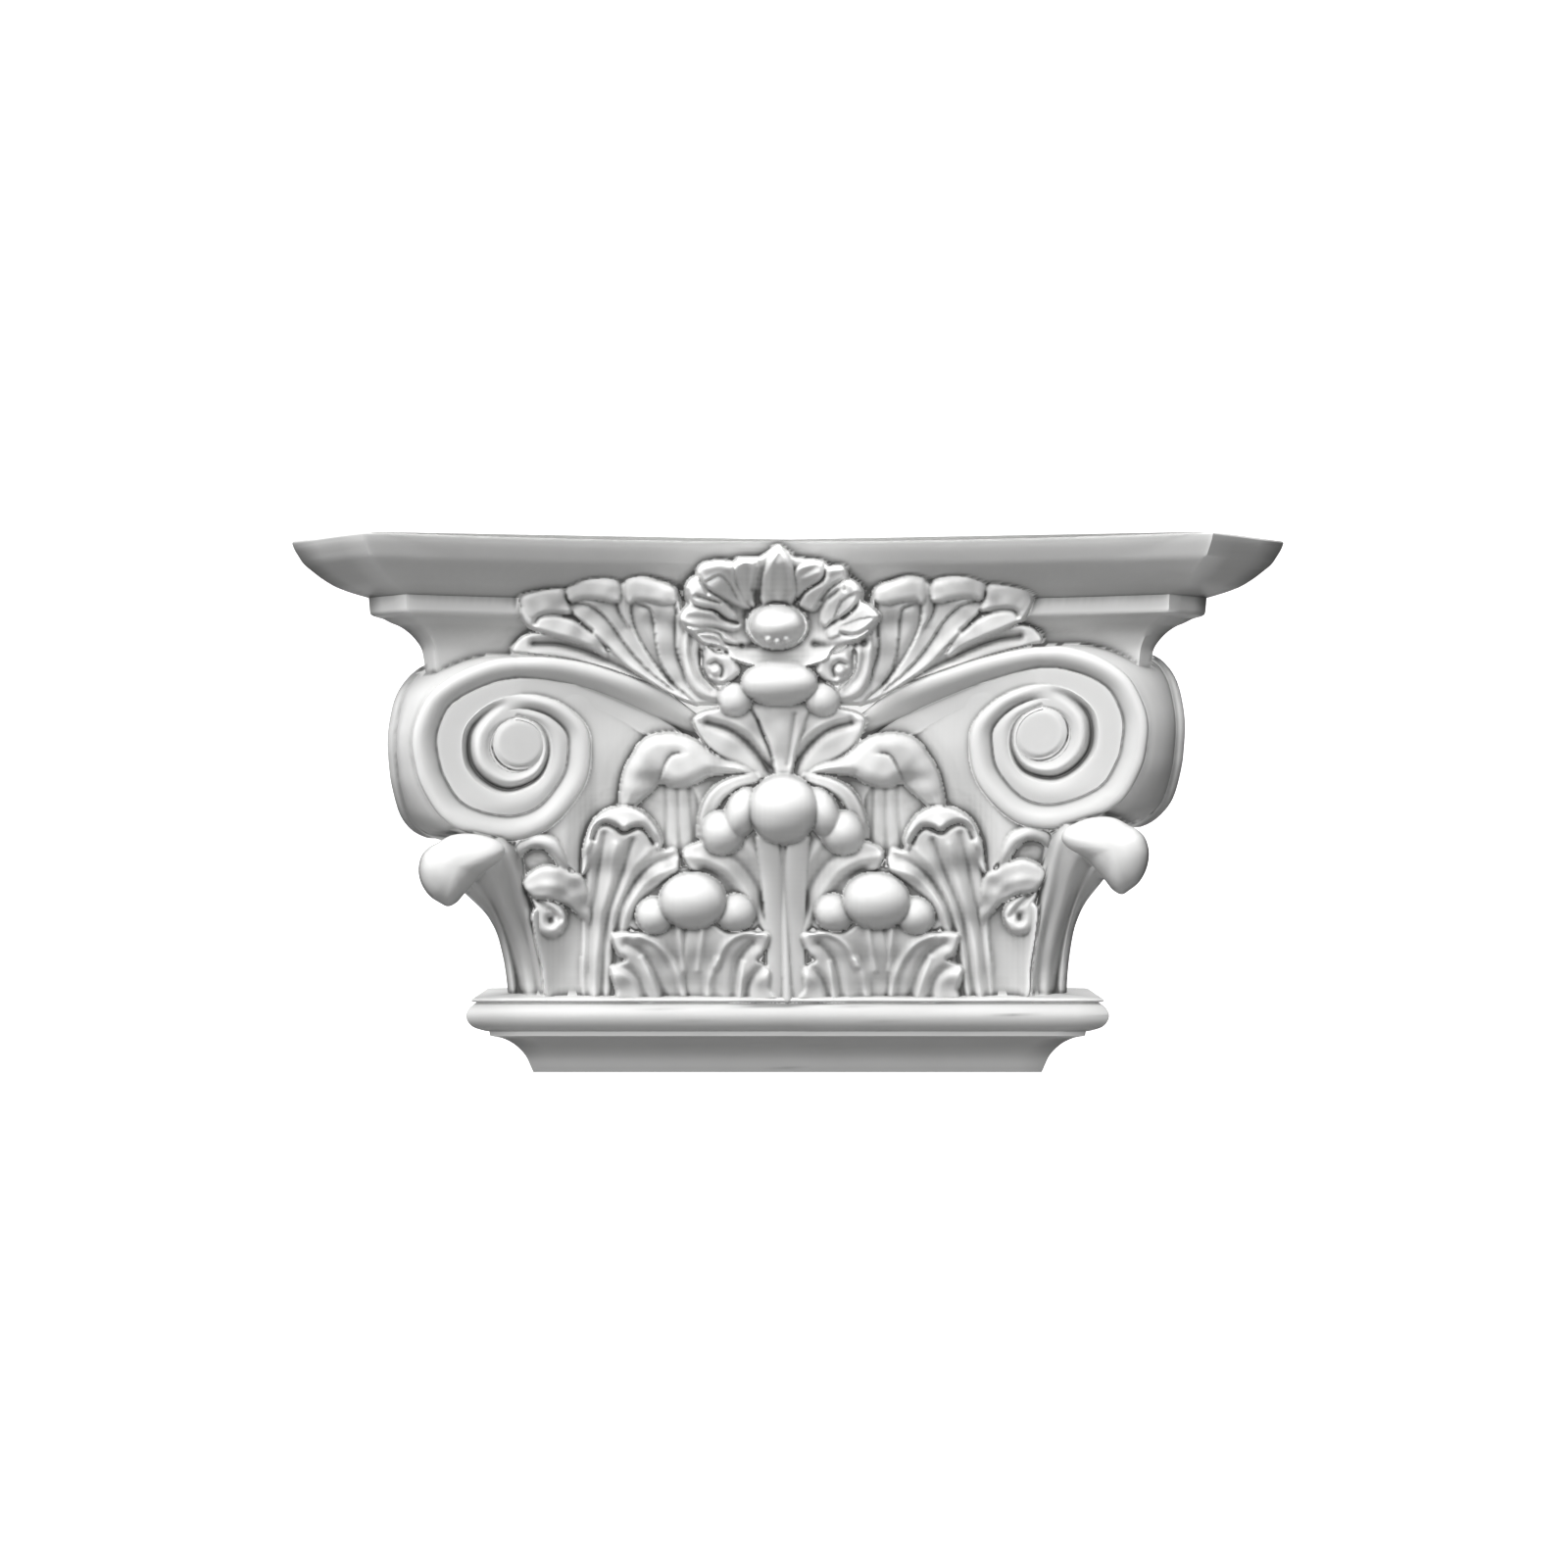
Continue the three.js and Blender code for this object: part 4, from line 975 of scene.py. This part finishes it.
def piece(name, shells, hollows):
    """An object of the shells' points and faces, with the hollows' value at each point. An edge is
    sharp where its faces turn by more than 50 degrees."""
    points = shells.all_points()
    mesh = bpy.data.meshes.new(name)
    faces = [tuple(f) for part in shells.faces for f in part.tolist()]
    mesh.from_pydata((points * MM).tolist(), [], faces)
    # The hollow attribute carries the painted shade of the hollows and the painted highlight of the edges.
    layer = mesh.attributes.new("hollow", "FLOAT", "POINT")
    layer.data.foreach_set("value", hollows.at(points).astype(np.float32))
    mesh.validate()
    made = placed(name, mesh)
    mesh.shade_smooth()
    mesh.set_sharp_from_angle(angle=math.radians(50))
    return made


# This map's value is painted into the plaster's colour: painted shade where it is above 0, painted
# highlight where it is below 0.
class Hollows:
    """How far each place of the front lies below (above 0) or over (below 0) its surroundings, from a
    map of the front's depth. Over a ring of places at a radius, v is the mean of their height over the
    place, clipped to a reach and divided by it; the value is the sum of share * sign(v) * abs(v)**1.3."""

    left, top, across, down = 270, 520, 1070, 600  # px
    rings = ((2, 1.0, 0.7), (5, 2.6, 0.45), (10, 5.0, 0.35), (22, 12.0, 0.3))  # radius px, reach mm, share
    places = 16  # on each ring
    power = 1.3
    cell = 0.8  # px between the points of a quad's raster
    finest = 24  # steps of the raster at most
    behind = 2.5  # mm behind the nearest surface that still count as seen
    side_from, side_below = 108, 30  # mm from the middle, and height, where the side scroll is

    def __init__(self, pieces):
        self.depth = np.full((self.down, self.across), -1.0)
        for shells in pieces:
            self.cover(shells.all_points(), shells.all_quads())
        there = self.depth >= 0
        self.value = np.zeros_like(self.depth)
        for radius, reach, share in self.rings:
            total = np.zeros_like(self.depth)
            for angle in np.linspace(0, 2 * math.pi, self.places, endpoint=False):
                move = (round(radius * math.sin(angle)), round(radius * math.cos(angle)))
                other = np.roll(self.depth, move, axis=(0, 1))
                both = there & (other >= 0)
                total += np.where(both, np.clip(other - self.depth, -reach, reach), 0)
            v = total / self.places / reach
            self.value += share * np.sign(v) * np.abs(v) ** self.power
        self.value[~there] = 0.0
        self.value = self.softer(self.value)

    @staticmethod
    def softer(field):
        """Each place mixed with its neighbours, 1 : 2 : 1 across and down."""
        p = np.pad(field, 1, mode="edge")
        p = (p[:, :-2] + 2 * p[:, 1:-1] + p[:, 2:]) / 4
        return (p[:-2] + 2 * p[1:-1] + p[2:]) / 4

    @staticmethod
    def drawn(points):
        """Where each point is seen in the drawing, and its depth: the reverse of seen()."""
        depth = -points[:, 1]
        shrink = PIXEL * (1.0 - depth / EYE["distance"])
        return ((points[:, 0] - EYE["x"]) / shrink + PHOTO_CENTRE,
                PHOTO_CENTRE - (points[:, 2] - EYE["z"]) / shrink, depth)

    def cover(self, points, quads):
        """Lays every quad on the map as a raster of points closer than a cell, keeping the nearest."""
        px, py, depth = self.drawn(points)
        spot = np.stack([px - self.left, py - self.top, depth], -1)[quads]
        size = np.ptp(spot[:, :, :2], axis=1).max(-1)
        steps = np.clip(np.ceil(size / self.cell), 1, self.finest).astype(int)
        for n in np.unique(steps):
            a, b, c, d = np.moveaxis(spot[steps == n], 1, 0)
            for u in np.linspace(0, 1, n + 1):
                for v in np.linspace(0, 1, n + 1):
                    p = (1 - u) * ((1 - v) * a + v * b) + u * ((1 - v) * d + v * c)
                    col = np.clip(np.rint(p[:, 0]), 0, self.across - 1).astype(int)
                    row = np.clip(np.rint(p[:, 1]), 0, self.down - 1).astype(int)
                    np.maximum.at(self.depth, (row, col), p[:, 2])

    def look(self, points):
        """The map's value at points that can be seen from the front, and whether they can."""
        px, py, depth = self.drawn(points)
        x = np.clip(px - self.left, 0, self.across - 1.001)
        y = np.clip(py - self.top, 0, self.down - 1.001)
        c, r = x.astype(int), y.astype(int)
        fx, fy = x - c, y - r
        value = ((1 - fy) * ((1 - fx) * self.value[r, c] + fx * self.value[r, c + 1])
                 + fy * ((1 - fx) * self.value[r + 1, c] + fx * self.value[r + 1, c + 1]))
        nearest = np.maximum.reduce([self.depth[r, c], self.depth[r, c + 1], self.depth[r + 1, c],
                                     self.depth[r + 1, c + 1]])
        return value, depth > nearest - self.behind

    def at(self, points):
        """The value at each point; the sides take it from their mirror image on the front."""
        front, shown = self.look(points)
        side, mirrored = self.look(on_side(points))
        outer = (np.abs(points[:, 0]) > self.side_from) & (points[:, 2] < self.side_below)
        return np.where(shown, front, np.where(mirrored & outer, side, 0.0))


# The gain on the hollow value paints shade into the hollows and a highlight onto the edges.
PLASTER = {"roughness": 0.5, "shine": 0.35, "grain": 60, "fineness": 6, "mottle": 0.08, "middle": 0.46,
           "painted_shading": -0.85}
# Grey of the plaster against the level, from painted shade in the hollows to painted highlight on the
# edges.
PAINTED_SHADE = (0.10, 0.10, 0.098, 1)
PAINTED_HIGHLIGHT = (0.92, 0.92, 0.915, 1)
GREYS = ((0.25, 0.33), (0.42, 0.56), (0.5, 0.62), (0.62, 0.70))
WARMTH = 0.993


def plaster():
    """Dry cast plaster with painted light: its grey is darkened in the hollows as painted shade and
    lightened over the edges as painted highlight.
    The level is 0.46 + 0.08 * noise - 0.85 * hollow, and the grey follows it."""
    material = bpy.data.materials.new("cast plaster")
    material.use_nodes = True
    nodes, links = material.node_tree.nodes, material.node_tree.links
    shader = nodes["Principled BSDF"]
    shader.inputs["Roughness"].default_value = PLASTER["roughness"]
    shader.inputs["Specular IOR Level"].default_value = PLASTER["shine"]
    place = nodes.new("ShaderNodeTexCoord")
    grain = nodes.new("ShaderNodeTexNoise")
    grain.inputs["Scale"].default_value = PLASTER["grain"]
    grain.inputs["Detail"].default_value = PLASTER["fineness"]
    # Painted shade and painted highlight: the hollow attribute darkens the grey in the hollows and lightens
    # it over the edges.
    hollow = nodes.new("ShaderNodeAttribute")
    hollow.attribute_name = "hollow"
    mottle, level = nodes.new("ShaderNodeMath"), nodes.new("ShaderNodeMath")
    mottle.operation = level.operation = "MULTIPLY_ADD"
    mottle.inputs[1].default_value = PLASTER["mottle"]
    mottle.inputs[2].default_value = PLASTER["middle"]
    level.inputs[1].default_value = PLASTER["painted_shading"]
    tone = nodes.new("ShaderNodeValToRGB")
    ramp = tone.color_ramp
    # The ramp's ends: painted shade at 0, painted highlight at 1.
    for end, position, colour in zip(ramp.elements, (0.0, 1.0), (PAINTED_SHADE, PAINTED_HIGHLIGHT)):
        end.position, end.color = position, colour
    for position, grey in GREYS:
        ramp.elements.new(position).color = (grey, grey, grey * WARMTH, 1)
    links.new(place.outputs["Object"], grain.inputs["Vector"])
    links.new(grain.outputs["Fac"], mottle.inputs[0])
    links.new(hollow.outputs["Fac"], level.inputs[0])
    links.new(mottle.outputs[0], level.inputs[2])
    links.new(level.outputs[0], tone.inputs["Fac"])
    links.new(tone.outputs["Color"], shader.inputs["Base Color"])
    return material


ROOM = {"half": 1.6, "near": 0.2, "far": 3}  # metres


def stage():
    """A pale floor and a pale backdrop out of reach of the capital's shadow."""
    pale = bpy.data.materials.new("pale backdrop")
    pale.use_nodes = True
    paint = pale.node_tree.nodes["Principled BSDF"].inputs
    paint["Base Color"].default_value = (0.9, 0.9, 0.9, 1)
    paint["Roughness"].default_value = 1.0
    lit = pale.copy()
    lit.name = "lit backdrop"
    glow = lit.node_tree.nodes["Principled BSDF"].inputs
    glow["Emission Color"].default_value = (1, 1, 1, 1)
    glow["Emission Strength"].default_value = 1.0
    half, near, far = ROOM["half"], ROOM["near"], ROOM["far"]
    for name, material, corners in (
        ("Floor", pale,
         [(-half, near, -half), (half, near, -half), (half, far, -half), (-half, far, -half)]),
        ("Backdrop", lit,
         [(-half, far, -half), (half, far, -half), (half, far, half), (-half, far, half)]),
    ):
        mesh = bpy.data.meshes.new(name)
        mesh.from_pydata(corners, [], [(0, 1, 2, 3)])
        mesh.materials.append(material)
        placed(name, mesh)


LAMP_SIZE = 0.5
ROOM_LIGHT = 0.04
# Lamps: name, place in metres, watts, whether it casts a shadow.
LAMPS = (
    ("Key", (-0.53, -1.72, 1.8), 18, True),
    ("Key fill", (-0.53, -1.72, 1.8), 30, False),
    ("Left fill", (-1.38, -1.16, 1.8), 17, False),
    ("Front fill", (0.0, -2.54, 0.22), 23, False),
    ("Top", (0.0, -0.53, 2.49), 52, True),
    ("Side", (-2.45, -0.21, 0.66), 8, False),
)


def lights():
    """A dim white room, and area lamps turned to face the middle of the capital."""
    world = bpy.data.worlds.new("soft room")
    world.use_nodes = True
    world.node_tree.nodes["Background"].inputs["Color"].default_value = (1, 1, 1, 1)
    world.node_tree.nodes["Background"].inputs["Strength"].default_value = ROOM_LIGHT
    bpy.context.scene.world = world
    for name, (x, y, z), watts, shadow in LAMPS:
        lamp = bpy.data.lights.new(name, "AREA")
        lamp.size = LAMP_SIZE
        lamp.energy = watts
        lamp.use_shadow = shadow
        holder = placed(name, lamp)
        holder.location = (x, y, z)
        holder.rotation_euler = (math.atan2(math.hypot(x, y), z), 0, math.atan2(x, -y))


def camera():
    """A 50 mm lens, level, from the place that the drawing is seen from."""
    lens = bpy.data.cameras.new("Camera")
    lens.lens = 50
    lens.sensor_width = 36
    lens.clip_start = 0.05
    holder = placed("Camera", lens)
    holder.location = (EYE["x"] * MM, -EYE["distance"] * MM, EYE["z"] * MM)
    holder.rotation_euler = (math.pi / 2, 0, 0)
    bpy.context.scene.camera = holder


cast = plaster()
for part in make_pieces():
    part.data.materials.append(cast)
    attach(part, "root")
    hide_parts("capital")
stage()
lights()
camera()
bpy.context.scene.view_settings.view_transform = "Standard"
